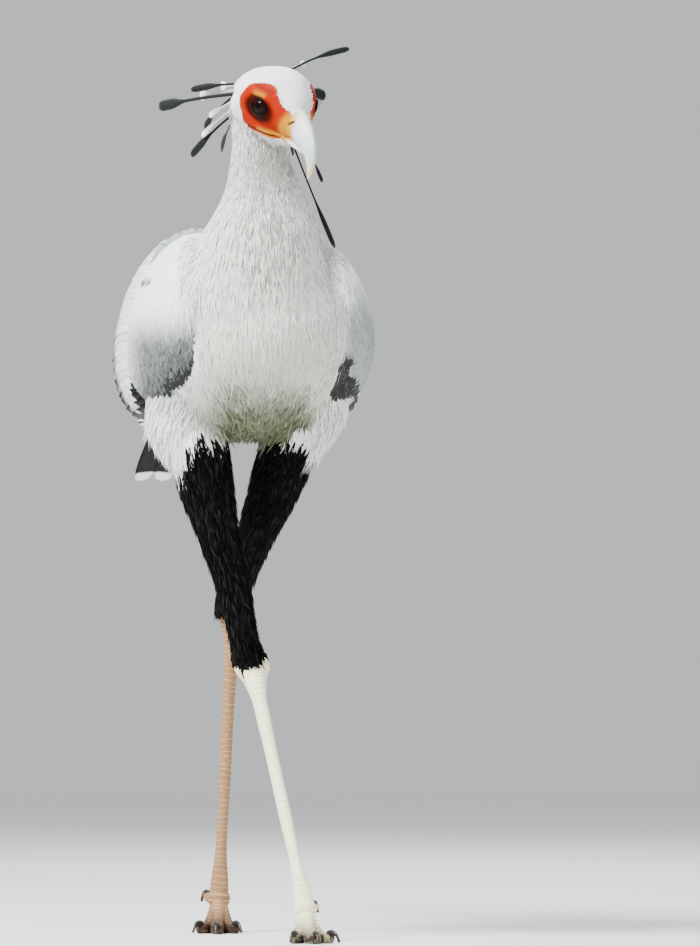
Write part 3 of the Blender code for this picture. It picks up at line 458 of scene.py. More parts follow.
normals = point_normals(head_points, head_faces)
local = to_head(head_points)
ahead, aside, rise = local.T
angle = np.degrees(np.arctan2(rise + FACE_DROP, ahead)) % 360
edge = read_table(FACE_EDGE, angle)[:, 1]
reach = np.hypot(ahead, rise + FACE_DROP)
ruffle = 0.0006 * np.sin(ahead * 1900 + rise * 1300) + 0.0004 * np.sin(ahead * 900 - rise * 2300)
bare = smooth_step(-0.0010, 0.0014, edge - reach + ruffle) * smooth_step(0.002, 0.006, np.abs(aside))
# Lines as seen from the side: the mouth, the fold behind it, the pleat below, the brow and the cheek
seen = np.stack([ahead, rise], -1)
gape = near_line(seen, (-0.0175, -0.0296), (-0.002, -0.0297), 0.0013)
gape = np.maximum(gape, near_line(seen, (-0.002, -0.0297), (0.034, -0.0262), 0.0012))
fold = near_line(seen, (-0.0185, -0.0292), (-0.006, -0.0296), 0.0021)
pleat = near_line(seen, (-0.0150, -0.0325), (0.004, -0.0325), 0.0018)
ridge = near_line(seen, (-0.017, 0.0125), (0.012, 0.0150), 0.0048)
cheek = near_line(seen, (0.006, -0.014), (0.020, -0.010), 0.0085)
swell = DOWN_DEPTH * bare + 0.0013 * ridge + 0.0010 * cheek - 0.0016 * gape * (np.abs(aside) > 0.004)
swell += 0.0012 * pleat + 0.0008 * near_line(seen, (-0.015, -0.0262), (0.012, -0.0258), 0.0022)
for hand in (-1, 1):
    middle = eye_frame(hand)[0]
    round_eye = np.linalg.norm(head_points - middle, axis=1)
    creases = np.sin(round_eye * 2600 + 2.2 * np.sin(angle / 57.3 * 3)) * smooth_step(0.030, 0.016, round_eye)
    swell = swell + 0.00022 * creases * bare * smooth_step(0.0145, 0.017, round_eye) * (aside * hand > 0)
head_points = head_points + normals * swell[:, None]
eye_ring = np.zeros(len(head_points))
for hand in (-1, 1):
    middle, level, own_up, look = eye_frame(hand)
    out = head_points - middle
    gap = np.linalg.norm(out, axis=1)
    facing = (out @ look) / gap
    lid = LID_RADIUS * smooth_step(-0.05, 0.30, facing)
    bulged = np.where(facing > 0, np.logaddexp(gap * 900, lid * 900) / 900, gap)
    tilt = np.hypot((out @ level) / EYE_WIDE, (out @ own_up) / EYE_TALL) * (LID_RADIUS / gap) ** 0.5
    open_eye = (facing > 0.35) & (tilt < 1.0)
    bulged = np.where(open_eye, SOCKET_RADIUS, bulged)
    head_points = middle + out * (bulged / gap)[:, None]
    low = np.hypot((out @ level) / EYE_WIDE, (out @ own_up + 0.0022) / EYE_TALL) * (LID_RADIUS / gap) ** 0.5
    eye_ring = np.maximum(eye_ring, (facing > 0.1) * smooth_step(1.72, 1.28, low))
# Gold lies over the eye, at the bill's root and on both sides of the mouth. Painted shade, a dark brown, lies
# on the brow and in the fold and gape of the mouth
gold = np.maximum.reduce([
    0.6 * near_line(seen, (-0.007, 0.0112), (0.003, 0.0124), 0.0028),
    smooth_step(0.024, 0.036, ahead - 0.30 * (rise + 0.005)),
    0.9 * near_line(seen, (0.002, -0.0272), (0.034, -0.0215), 0.0028),
    0.6 * near_line(seen, (0.000, -0.0325), (0.030, -0.0290), 0.0020),
])
brow = near_line(seen, (-0.012, 0.0185), (0.009, 0.0180), 0.0026)
brown = np.maximum.reduce([0.55 * brow, 0.9 * fold, 0.9 * gape])
skin_masks = {"bare": bare, "gold": gold, "brown": brown, "ring": eye_ring, "pink": 0.8 * pleat}


def owner_of(points, forms):
    """For each point the form whose oval it lies deepest in: its number, the depth, the share along it,
    the two places across its section and its way there. Depth is the distance over the radius."""
    best = np.full(len(points), 9.9)
    found = {"owner": np.zeros(len(points), int), "share": np.zeros(len(points)),
             "out": np.zeros(len(points)), "high": np.zeros(len(points)), "way": np.zeros((len(points), 3))}
    for k, form in enumerate(forms.values()):
        middle = form["middle"]
        gaps = (points**2).sum(1)[:, None] - 2 * points @ middle.T + (middle**2).sum(1)[None]
        station = gaps.argmin(1)
        away = points - middle[station]
        out = np.sum(away * form["side"][station], 1) / form["sizes"][station, 0]
        high = np.sum(away * form["up"][station], 1)
        high = high / np.where(high > 0, form["sizes"][station, 1], form["sizes"][station, 2])
        past = np.sum(away * form["way"][station], 1)
        depth = np.hypot(np.hypot(out, high), past / 0.02)
        nearer = depth < best
        best = np.where(nearer, depth, best)
        share = station / (len(middle) - 1)
        for key, value in (("owner", k), ("share", share), ("out", out), ("high", high)):
            found[key] = np.where(nearer, value, found[key])
        found["way"] = np.where(nearer[:, None], form["way"][station], found["way"])
    return {**found, "depth": best}


names = list(FORMS)


def black_part(found, points):
    """1 on the trousers: thigh and shank below a line that drops on the leg's outer side."""
    leg = np.isin(found["owner"], [names.index(n) for n in names if n.startswith(("shank", "thigh"))])
    outer = np.maximum(-points[:, 0] - 0.062, points[:, 0] - 0.062)
    ragged = 0.004 * np.sin(points[:, 0] * 420) + 0.003 * np.sin(points[:, 1] * 530 + 1.0)
    line = 0.557 - 0.040 * smooth_step(-0.004, 0.024, outer) + ragged
    return leg * smooth_step(0.001, -0.001, points[:, 2] - line)


found = owner_of(body_points, FORMS)
body_masks = {key: np.zeros(len(body_points)) for key in skin_masks}
body_masks["black"] = black_part(found, body_points)
body_masks["grey"] = np.isin(found["owner"], [names.index("wing_left"), names.index("wing_right")]) * 1.0
skin_masks = {**skin_masks, "black": 0 * bare, "grey": 0 * bare}


def material_with(name, roughness, coat=0.0, gloss=0.3):
    """A new material and its shader, with the values that are the same all over set on its sockets."""
    material = bpy.data.materials.new(name)
    material.use_nodes = True
    shader = material.node_tree.nodes["Principled BSDF"]
    shader.inputs["Roughness"].default_value = roughness
    shader.inputs["Coat Weight"].default_value = coat
    shader.inputs["Coat Roughness"].default_value = 0.08
    shader.inputs["Specular IOR Level"].default_value = gloss
    return material, shader


def add(tree, kind, **settings):
    """A node of a kind with its plain settings made. Names that start with a capital are inputs."""
    node = tree.nodes.new(kind)
    for key, value in settings.items():
        if key[0].isupper():
            node.inputs[key.replace("_", " ")].default_value = value
        else:
            setattr(node, key, value)
    return node


def mixed(tree, factor, first, second, blend="MIX"):
    """A colour between two, by a factor that is a number or a socket."""
    node = tree.nodes.new("ShaderNodeMix")
    node.data_type = "RGBA"
    node.blend_type = blend
    for socket, value in ((node.inputs[0], factor), (node.inputs[6], first), (node.inputs[7], second)):
        if isinstance(value, bpy.types.NodeSocket):
            tree.links.new(value, socket)
        elif isinstance(value, tuple):
            socket.default_value = (*value, 1.0)
        else:
            socket.default_value = value
    return node.outputs[2]


def sums(tree, operation, first, second=0.0, third=0.0):
    """One step of arithmetic on numbers or sockets."""
    node = tree.nodes.new("ShaderNodeMath")
    node.operation = operation
    for socket, value in zip(node.inputs, (first, second, third)):
        if isinstance(value, bpy.types.NodeSocket):
            tree.links.new(value, socket)
        else:
            socket.default_value = value
    return node.outputs[0]


def mask(tree, name):
    """A number stored on the piece's points."""
    return add(tree, "ShaderNodeAttribute", attribute_name=name).outputs["Fac"]


def tinted(tree, colour, **tints):
    """A colour with tints laid over it one after another, each by the mask of its name."""
    for name, tint in tints.items():
        colour = mixed(tree, mask(tree, name), colour, tint)
    return colour


def placed(tree, node):
    """A node that takes a place, fed with the object's own coordinates."""
    where = tree.nodes.new("ShaderNodeTexCoord")
    tree.links.new(where.outputs["Object"], node.inputs["Vector"])
    return node


def patches(tree, scale, detail=3.0):
    """Cloudy variation on object coordinates, from 0 to 1."""
    return placed(tree, add(tree, "ShaderNodeTexNoise", Scale=scale, Detail=detail)).outputs["Fac"]


def between(tree, value, low, high, at_low=0.0, at_high=1.0, kind="LINEAR"):
    """A number that goes from one value to another while a socket's value goes from low to high."""
    node = add(tree, "ShaderNodeMapRange", interpolation_type=kind, From_Min=low, From_Max=high,
               To_Min=at_low, To_Max=at_high)
    tree.links.new(value, node.inputs["Value"])
    return node.outputs[0]


def bumped(tree, shader, height, strength, distance):
    """Sends a height through a Bump node to the shader's normal."""
    bump = add(tree, "ShaderNodeBump", Strength=strength, Distance=distance)
    tree.links.new(height, bump.inputs["Height"])
    tree.links.new(bump.outputs["Normal"], shader.inputs["Normal"])


def mottled(name, roughness, scale, first, second, detail=3.0, coat=0.0, gloss=0.3):
    """A finish of two colours in cloudy patches."""
    material, shader = material_with(name, roughness, coat, gloss)
    tree = material.node_tree
    tree.links.new(mixed(tree, patches(tree, scale, detail), first, second), shader.inputs["Base Color"])
    return material


face_skin, shader = material_with("face_skin", 0.50, gloss=0.03)
tree = face_skin.node_tree
flush = mixed(tree, patches(tree, 260.0), (0.27, 0.005, 0.000), (0.34, 0.018, 0.001))
# The dark brown tint is painted shade on the brow and in the mouth's fold and gape
flush = tinted(tree, flush, gold=(0.52, 0.25, 0.012), pink=(0.80, 0.34, 0.22), brown=(0.09, 0.010, 0.003),
               ring=(0.026, 0.0025, 0.0015))
under_down = mixed(tree, patches(tree, 90.0), (0.70, 0.70, 0.68), (0.80, 0.80, 0.78))
under_down = tinted(tree, under_down, grey=(0.30, 0.32, 0.34), black=(0.006, 0.006, 0.006))
tree.links.new(mixed(tree, mask(tree, "bare"), under_down, flush), shader.inputs["Base Color"])
pores = placed(tree, add(tree, "ShaderNodeTexVoronoi", Scale=620.0))
bumped(tree, shader, pores.outputs["Distance"], 0.35, 0.0006)

skin_surface = joined([(body_points, body_faces), (head_points, head_faces)])
all_masks = {key: np.concatenate([body_masks[key], skin_masks[key]]) for key in skin_masks}
skin = new_piece("skin", skin_surface, [face_skin], masks=all_masks)
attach(skin, "root")
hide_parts("torso", "neck", "head", "thigh_left", "thigh_right", "shank_left", "shank_right")

# The plumage's small feathers
# Body feathers and down are vanes of horn-like barbs that grow from the skin and lie along it, from the
# bill towards the tail and down the legs. Each is a closed leaf with a keel, and thousands are joined.

# Shares of the length at which a leaf has a section, and the widths there
ROUND_LEAF = ((0.0, 0.50), (0.38, 1.0), (0.78, 0.70), (1.0, 0.0))
FINE_LEAF = ((0.0, 0.60), (0.48, 1.0), (1.0, 0.0))
MOST_LEAVES = 12000
draw = np.random.default_rng(41)


def scatter(points, faces, spacing, weight=None):
    """Places spread evenly over a surface, one for each square of the spacing: equal steps through the
    running sum of the faces' areas, then random shares of the three corners of the face it falls in."""
    corner = points[faces]
    out = np.cross(corner[:, 1] - corner[:, 0], corner[:, 2] - corner[:, 0])
    area = np.linalg.norm(out, axis=1) / 2
    if weight is not None:
        area = area * weight
    total = np.cumsum(area)
    count = int(total[-1] / spacing**2)
    picks = np.searchsorted(total, (np.arange(count) + draw.random(count)) * total[-1] / count)
    picks = np.minimum(picks, len(faces) - 1)
    a, b = draw.random((2, count))
    a, b = np.where(a + b > 1, 1 - a, a), np.where(a + b > 1, 1 - b, b)
    return picks, np.stack([1 - a - b, a, b], -1)


def calmed(values, faces, rounds):
    """Values on points, each replaced in each round by the mean over the faces round it."""
    share = np.bincount(faces.ravel(), minlength=len(values))[:, None]
    for _ in range(rounds):
        middle = np.repeat(values[faces].mean(1), 3, axis=0)
        sums_there = [np.bincount(faces.ravel(), middle[:, k], len(values)) for k in range(3)]
        values = np.stack(sums_there, 1) / share
    return values


def rooted(points, faces, spacing, weight=None, rounds=10):
    """Roots on a surface: their places, the outward normals there, and for each the face's own edges and
    the turn of the normal along them, from which the surface's bend along a feather is read."""
    picks, shares = scatter(points, faces, spacing, weight)
    normals = unit(calmed(point_normals(points, faces), faces, rounds))
    corner, turned = points[faces[picks]], normals[faces[picks]]
    places = np.einsum("ij,ijk->ik", shares, corner)
    outward = unit(np.einsum("ij,ijk->ik", shares, turned))
    return places, outward, corner[:, 1:] - corner[:, :1], turned[:, 1:] - turned[:, :1]


def bend_along(ways, edges, turns):
    """How the surface rises over its tangent plane along each way: minus the way times the change of the
    normal per unit of the way. The way is written as a sum of the face's two edges to find that change."""
    gram = np.einsum("iak,ibk->iab", edges, edges) + 1e-12 * np.eye(2)
    side = np.einsum("iak,ik->ia", edges, ways)
    det = gram[:, 0, 0] * gram[:, 1, 1] - gram[:, 0, 1] ** 2
    first = (gram[:, 1, 1] * side[:, 0] - gram[:, 0, 1] * side[:, 1]) / det
    second = (gram[:, 0, 0] * side[:, 1] - gram[:, 0, 1] * side[:, 0]) / det
    change = first[:, None] * turns[:, 0] + second[:, None] * turns[:, 1]
    return np.clip(-np.sum(ways * change, 1), -16.0, 1.0)


skin_tree = BVHTree.FromPolygons(skin_surface[0].tolist(), skin_surface[1].tolist())


def laid(points, heights):
    """Points moved along the normal of the skin's nearest place: out to their height where they are
    lower, and most of the way in where they are higher."""
    hits = map(skin_tree.find_nearest, points.reshape(-1, 3).tolist())
    near = np.array([(*place, *normal) for place, normal, _, _ in hits]).reshape(*points.shape[:-1], 6)
    normal = near[..., 3:]
    gap = np.sum((points - near[..., :3]) * normal, -1, keepdims=True)
    miss = heights - gap
    return points + normal * np.where(miss > 0, miss, 0.65 * miss)


def leaf_faces(sections):
    """The faces of a leaf whose sections are left edge, keel and right edge: two strips above, one below,
    three faces at the tip and one at the root. Also whether each face looks down at the skin."""
    faces, under = [(0, 2, 1)], [True]
    for k in range(0, 3 * sections - 3, 3):
        for a, b in ((0, 1), (1, 2), (2, 0)):
            faces += [(k + a, k + b, k + b + 3), (k + a, k + b + 3, k + a + 3)]
            under += [b == 0] * 2
    last = 3 * sections - 3
    faces += [(last, last + 1, last + 3), (last + 1, last + 2, last + 3), (last + 2, last, last + 3)]
    return np.array(faces), np.array(under + [False, False, True])


def leaves(name, roots, normals, ways, bend, length, width, lift, droop, sway, bake, tone, material,
           keel=0.10, outline=ROUND_LEAF, on_skin=True):
    """Leaves from their roots: a leaf's middle line runs along its way at the skin's own bend, rises by
    lift times the share less droop times its square, and swings aside by sway times its square. It is
    shaded with the skin's normal, turned a little to each side, so that the coat looks soft."""
    ways = unit(ways - normals * np.sum(ways * normals, 1, keepdims=True))
    side = np.cross(ways, normals)
    shares, widths = np.array(outline).T
    t = shares[None, :, None]
    length, width = length[:, None, None], width[:, None, None]
    lift, droop, sway = lift[:, None, None], droop[:, None, None], sway[:, None, None]
    line = roots[:, None] + ways[:, None] * length * t + side[:, None] * length * sway * t**2
    sink = np.minimum(0.0010, 0.09 * length) * np.maximum(1 - t / 0.3, 0)
    rise = length * (lift * t - droop * t**2) + bend[:, None, None] * (length * t) ** 2 / 2
    line = line + normals[:, None] * (rise - sink)
    if on_skin:
        line[:, 1:] = laid(line[:, 1:], (length * (lift * t - droop * t**2))[:, 1:] + 0.0006)
    half = width / 2 * widths[None, :, None]
    left = line - side[:, None] * half - normals[:, None] * half * keel
    right = line + side[:, None] * half - normals[:, None] * half * keel
    spine = line + normals[:, None] * (half * keel + 0.00025)
    rows = len(shares) - 1
    per = 3 * rows + 1
    body = np.stack([left[:, :-1], spine[:, :-1], right[:, :-1]], 2).reshape(len(roots), per - 1, 3)
    points = np.concatenate([body, line[:, -1:]], 1)
    soft = normals[:, None] - ways[:, None] * (lift * 0.5 + bend[:, None, None] * length * t)
    soft = np.stack([soft - 0.6 * side[:, None], soft, soft + 0.6 * side[:, None]], 2)
    soft = unit(np.concatenate([soft[:, :-1].reshape(len(roots), per - 1, 3), soft[:, -1:, 1]], 1))
    vane = np.array([(u, s) for s in shares[:-1] for u in (0.0, 0.5, 1.0)] + [(0.5, 1.0)])
    one, under = leaf_faces(rows)
    turned = np.where(under, -1.0, 1.0)[None, :, None, None]
    for k, start in enumerate(range(0, len(roots), MOST_LEAVES)):
        part = slice(start, start + MOST_LEAVES)
        count = len(roots[part])
        faces = one[None] + (np.arange(count) * per)[:, None, None]
        maps = {
            "OFBake": (bake[part, None] + 0.003 * (vane[None] - 0.5)).reshape(-1, 2),
            "vane": np.tile(vane, (count, 1)),
        }
        masks = {"tone": np.repeat(tone[part], per)}
        facing = (soft[part][:, one] * turned).reshape(-1, 3)
        surface = (points[part].reshape(-1, 3), faces.reshape(-1, 3))
        piece = new_piece(f"{name}_{k + 1}", surface, [material], maps, masks, facing)
        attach(piece, "root")


# Barbs: fine lines that leave the keel at a slant, as every feather's vane shows
barb_lines = bpy.data.node_groups.new("barb_lines", "ShaderNodeTree")
barb_lines.interface.new_socket("Count", in_out="INPUT", socket_type="NodeSocketFloat")
for output in ("Height", "Along", "Edge"):
    barb_lines.interface.new_socket(output, in_out="OUTPUT", socket_type="NodeSocketFloat")
given = barb_lines.nodes.new("NodeGroupInput")
result = barb_lines.nodes.new("NodeGroupOutput")
vane_map = add(barb_lines, "ShaderNodeUVMap", uv_map="vane")
split = barb_lines.nodes.new("ShaderNodeSeparateXYZ")
barb_lines.links.new(vane_map.outputs["UV"], split.inputs[0])
off_keel = sums(barb_lines, "ABSOLUTE", sums(barb_lines, "SUBTRACT", split.outputs["X"], 0.5))
slant = sums(barb_lines, "SUBTRACT", split.outputs["Y"], sums(barb_lines, "MULTIPLY", off_keel, 0.35))
wave = sums(barb_lines, "SINE", sums(barb_lines, "MULTIPLY", slant, given.outputs["Count"]))
barb_lines.links.new(wave, result.inputs["Height"])
barb_lines.links.new(split.outputs["Y"], result.inputs["Along"])
barb_lines.links.new(sums(barb_lines, "MULTIPLY", off_keel, 2.0), result.inputs["Edge"])


def feather_finish(name, dark, light, tip, barbs, tip_from=0.7, rough=0.7, gloss=0.25, edge=None):
    """A feather's finish: each vane's own tone picks a colour between two, the end turns to a third, and
    the edge may have a tint of its own."""
    material, shader = material_with(name, rough, gloss=gloss)
    tree = material.node_tree
    group = add(tree, "ShaderNodeGroup", node_tree=barb_lines)
    group.inputs["Count"].default_value = barbs
    colour = mixed(tree, mask(tree, "tone"), dark, light)
    if edge is not None:
        rim = between(tree, group.outputs["Edge"], 0.62, 0.98, kind="SMOOTHSTEP")
        far = sums(tree, "MULTIPLY", rim, sums(tree, "POWER", group.outputs["Along"], 1.5))
        colour = mixed(tree, sums(tree, "MINIMUM", sums(tree, "MULTIPLY", far, 0.8), 1.0), colour, edge)
    end = between(tree, group.outputs["Along"], tip_from, 1.0, kind="SMOOTHSTEP")
    colour = mixed(tree, end, colour, tip)
    streak = sums(tree, "MULTIPLY_ADD", group.outputs["Height"], 0.05, 0.95)
    tree.links.new(mixed(tree, 1.0, colour, streak, "MULTIPLY"), shader.inputs["Base Color"])
    bumped(tree, shader, group.outputs["Height"], 0.30, 0.0003)
    return material


# The white plume's dark end, a greenish grey, is painted shade in the throat, under the chin and at the
# neck's foot; random tone reaches part way towards it everywhere
white_plume = feather_finish("white_plume", (0.30, 0.32, 0.28), (0.90, 0.91, 0.91), (0.93, 0.93, 0.92),
                             barbs=60.0, tip_from=0.8)
# The belly's plumes are white feathers painted in shade and in green light reflected from the ground, olive
# where it is deepest
shaded_belly_plume = feather_finish("shaded_belly_plume", (0.15, 0.17, 0.09), (0.68, 0.70, 0.60), (0.76, 0.77, 0.68),
                             barbs=60.0, tip_from=0.8)
shaded_olive_plume = feather_finish("shaded_olive_plume", (0.070, 0.082, 0.034), (0.60, 0.62, 0.53), (0.24, 0.26, 0.16),
                             barbs=60.0, tip_from=0.7)
grey_plume = feather_finish("grey_plume", (0.20, 0.22, 0.23), (0.34, 0.37, 0.39), (0.42, 0.45, 0.47),
                            barbs=60.0, tip_from=0.5)
shoulder_plume = feather_finish("shoulder_plume", (0.012, 0.014, 0.012), (0.90, 0.95, 0.98),
                                (0.60, 0.64, 0.66), barbs=70.0, tip_from=0.93)
black_plume = feather_finish("black_plume", (0.0012, 0.0013, 0.0014), (0.022, 0.021, 0.021),
                             (0.006, 0.0055, 0.0055), barbs=60.0, tip_from=0.6, rough=0.55, gloss=0.02)


def atlas(found):
    """The unwrap of the skin: each form's length and girth fill one tile of a four by three sheet."""
    turn = np.arctan2(found["high"], found["out"]) / (2 * math.pi) + 0.5
    column, row = found["owner"] % 4, found["owner"] // 4
    return np.stack([(column + 0.04 + 0.92 * turn) / 4, (row + 0.04 + 0.92 * found["share"]) / 3], -1)


roots, outward, edges, turns = rooted(body_points, body_faces, spacing=0.0017)
found = owner_of(roots, FORMS)
bake = atlas(found)
owner, way = found["owner"], found["way"]
is_of = {name: owner == names.index(name) for name in names}
height = roots[:, 2]
body_y = (roots[:, 1] - BODY_PIVOT_Y) * math.cos(BODY_YAW) - (roots[:, 0] - BODY_ASIDE) * math.sin(BODY_YAW)
body_y = body_y + BODY_PIVOT_Y
rearward = smooth_step(-0.16, 0.05, body_y)
down = np.array([0.0, 0.0, -1.0])
lie = rearward[:, None] * BODY_BACK + (1.15 - rearward)[:, None] * down
lie[is_of["neck"] | is_of["nape"]] = np.array([0.0, 0.12, -1.0])
wing_root = is_of["wing_left"] | is_of["wing_right"]
fore = smooth_step(0.06, -0.08, body_y)[:, None]
lie = np.where(wing_root[:, None], BODY_BACK * (1 - 0.5 * fore) + (0.28 + 0.8 * fore) * down, lie)
shank_root = is_of["shank_left"] | is_of["shank_right"]
thigh_root = is_of["thigh_left"] | is_of["thigh_right"]
lie[shank_root] = way[shank_root]
lie[thigh_root] = way[thigh_root] * 0.9 + 0.25 * BODY_BACK
lie[is_of["tail"]] = way[is_of["tail"]]
lie = lie + draw.normal(0, 0.09, lie.shape)
away = lie - outward * np.sum(lie * outward, 1, keepdims=True)
keep = np.linalg.norm(away, axis=1) > np.where(shank_root & (height < 0.40), 0.80, 0.04)
keep &= owner_of(roots, HEAD_FORMS)["depth"] > 0.97
bend = bend_along(unit(away), edges, turns)


def grown(name, chosen, length, width, lift, droop, material=white_plume,
          spread=0.10, tone=None, keel=0.10, outline=FINE_LEAF):
    """Leaves at the chosen roots that are kept, with every size varied by a random share. Length and
    width are numbers, or one number for each root, and lift is a range."""
    picked = np.flatnonzero(chosen & keep)
    n = len(picked)
    vary = draw.random((5, n))
    long = (length[picked] if isinstance(length, np.ndarray) else length) * (0.75 + 0.5 * vary[0])
    wide = (width[picked] if isinstance(width, np.ndarray) else width) * (0.8 + 0.4 * vary[2])
    rise = lift[0] + (lift[1] - lift[0]) * vary[1] ** 2
    shade = 0.7 + 0.3 * vary[4] if tone is None else tone[picked]
    leaves(name, roots[picked], outward[picked], lie[picked], bend[picked], long, wide, rise,
           droop * (0.6 + 0.8 * vary[3]), spread * draw.normal(0, 1, n), bake[picked], shade, material,
           keel, outline)


black = black_part(found, roots) > 0.5
neck_root = is_of["neck"] | is_of["nape"] | is_of["crop"]
across_body = roots[:, 0]
# Where the trunk bulges past the folded wings, it is feathered as they are
past_left = (across_body > 0.114) & (height > 0.600)
past_right = (across_body < -0.086) & (height > 0.592)
flank = is_of["trunk"] & (past_left | past_right)
wing_root = wing_root | flank
front = ((is_of["trunk"] & (body_y < 0.03)) | neck_root) & ~flank
beside = smooth_step(0.040, 0.082, np.abs(across_body - 0.017))
# Leaves in the belly's painted shade and green reflected light reach up the middle of the breast, ever fewer
reach = 0.150 * (1 - beside) * draw.random(len(roots)) ** 1.5
shade_tinted = front & ~is_of["neck"] & (height < 0.668 + reach)
# Painted shade with green light reflected from the ground: the belly darkens downwards, and ever more of its
# leaves are olive there
belly_shade = smooth_step(0.562, 0.658, height) + 0.9 * beside
belly_shade = np.clip(belly_shade + 0.10 * draw.normal(0, 1, len(roots)), 0, 1)
olive_shade = draw.random(len(roots)) < smooth_step(0.650, 0.572, height) * (1 - beside)
above = is_of["trunk"] & ~front & ~flank & (outward[:, 2] > 0.15)
below = is_of["trunk"] & ~front & ~flank & ~above
thin = draw.random(len(roots))
full = smooth_step(0.84, 0.74, height)
# Painted shade lies between the white strands of the throat and of the neck's foot: the leaves there turn
# grey
middle = np.exp(-(((across_body - 0.020) / 0.034) ** 2)) * (roots[:, 1] < -0.10)
neck_shade = middle * (1.1 * smooth_step(0.80, 0.86, height) + 1.5 * np.exp(-(((height - 0.765) / 0.055) ** 2)))
white_tone = np.clip(1 - 0.65 * draw.random(len(roots)) - neck_shade * draw.uniform(0.4, 1.0, len(roots)), 0, 1)
ahead_of = -outward @ BODY_BACK
grown("breast_feathers", front & ~shade_tinted, length=0.013 + 0.012 * full, width=0.0024 + 0.0014 * full,
      lift=(0.05, 0.13), droop=0.02, tone=white_tone)
belly = (front & shade_tinted) | below
grown("belly_feathers", belly & ~olive_shade & (thin < 0.62), length=0.026, width=0.0040, lift=(0.05, 0.15),
      droop=0.02, material=shaded_belly_plume, tone=belly_shade)
grown("shaded_olive_feathers", belly & olive_shade & (thin < 0.62), length=0.026, width=0.0040, lift=(0.05, 0.12),
      droop=0.02, material=shaded_olive_plume, tone=belly_shade)
hanging = belly & (outward[:, 2] < -0.55) & (np.abs(across_body - 0.01) < 0.06) & (thin > 0.91)
grown("belly_fluff", hanging, length=0.024, width=0.0022, lift=(0.18, 0.42), droop=0.05,
      material=shaded_olive_plume, spread=0.16, tone=belly_shade)
strand = front & (height < 0.835) & (ahead_of > 0.45) & (thin < 0.12 * smooth_step(0.60, 0.74, height))
grown("neck_strands", strand, length=0.026 + 0.030 * full, width=0.0012, lift=(0.05, 0.12), droop=0.04,
      spread=0.12, keel=0.3)
RUMP_START = 0.21
grown("back_feathers", above & (body_y < RUMP_START) & (thin < 0.34), length=0.028, width=0.0068,
      lift=(0.05, 0.12), droop=0.03, material=grey_plume, outline=ROUND_LEAF)
rump = (above & (body_y >= RUMP_START)) | is_of["tail"]
grown("rump_feathers", rump & (thin < 0.7), length=0.034, width=0.0052, lift=(0.04, 0.12), droop=0.02)

# The wings' fronts: a white shoulder, grey below it towards the breast, streaks at the lower edge. On the
# right wing the grey is painted shade
right_wing_shade = 0.83 * smooth_step(0.706, 0.652, height) * smooth_step(-0.143, -0.112, across_body)
right_wing_shade = right_wing_shade + 0.12 * smooth_step(0.645, 0.610, height) * smooth_step(-0.110, -0.075, across_body)
# The right wing ends below in a round edge, under which the white flank shows
WING_FOOT = np.array([
    (-0.112, 0.586), (-0.0974, 0.596), (-0.0842, 0.607), (-0.0732, 0.614),
    (-0.0644, 0.625), (-0.0600, 0.638), (-0.0580, 0.652), (-0.0560, 0.680),
])
over_foot = height - np.interp(across_body, WING_FOOT[:, 0], WING_FOOT[:, 1])
# Painted shadow, with the feathers' dark edges, in a band just over the right wing's lower edge
right_wing_shade = right_wing_shade + 0.16 * smooth_step(0.022, 0.002, over_foot)
right_wing_shade = right_wing_shade * smooth_step(-0.003, 0.002, over_foot)
streaks = (draw.random(len(roots)) < 0.45) * smooth_step(0.640, 0.600, height)
spot = np.hypot((across_body + 0.110) / 0.0085, (height - 0.728) / 0.0035) < 1
edge_left = 0.116 + 0.22 * np.clip(0.655 - height, 0, 1)
black_left = smooth_step(0.664, 0.640, height) * smooth_step(0.004, -0.005, across_body - edge_left)
grey_left = 0.62 * smooth_step(0.752, 0.680, height) * smooth_step(0.092, 0.114, across_body)
white_left = np.hypot((across_body - 0.1165) / 0.004, (height - 0.629) / 0.006) < 1
dark_right = np.maximum(np.maximum(right_wing_shade, 0.5 * streaks), 0.8 * spot)
dark_left = np.maximum(np.maximum(black_left * ~white_left, 0.5 * streaks), grey_left)
dark = np.where(across_body < 0, dark_right, dark_left) * (1 + 0.05 * draw.normal(0, 1, len(roots)))
shade = np.clip(1 - 0.07 * draw.random(len(roots)) - dark, 0, 1)
small = smooth_step(0.02, -0.05, body_y)
grown("shoulder_feathers", wing_root & (body_y < 0.088) & (thin < 0.54), length=0.024 - 0.010 * small,
      width=0.0060 - 0.0010 * small, lift=(0.05, 0.10), droop=0.02, material=shoulder_plume,
      spread=0.05, tone=shade, outline=ROUND_LEAF)
grown("wing_down", wing_root & (body_y >= 0.085) & (thin < 0.12), length=0.022, width=0.0060,
      lift=(0.04, 0.10), droop=0.03, material=grey_plume, spread=0.04,
      outline=ROUND_LEAF)

# White thighs, with fluff at their sides, over black trousers that end in a cuff above each ankle
outer_thigh = smooth_step(0.10, 0.14, np.abs(across_body))
thigh_tone = 0.82 + 0.18 * draw.random(len(roots))
grown("thigh_feathers", (thigh_root | shank_root) & ~black & (thin < 0.8), length=0.027 + 0.008 * outer_thigh,
      width=0.0030, lift=(0.05, 0.15), droop=0.02, spread=0.14, tone=thigh_tone)
fluffed = thigh_root & (np.abs(outward @ BODY_LEFT) > 0.35) & (height < 0.60) & (height > 0.515)
grown("thigh_fluff", fluffed & (thin > 0.6), length=0.034, width=0.0021, lift=(0.18, 0.46), droop=0.14,
      spread=0.16, tone=thigh_tone)
sheen = draw.random(len(roots)) ** np.where(across_body < 0.02, 3.0, 9.0)
ankle = np.where(is_of["shank_left"], smooth_step(0.43, 0.37, height), smooth_step(0.37, 0.31, height))
cuff = np.where(is_of["shank_left"], 0.370, np.where(is_of["shank_right"], 0.302, 0.0))
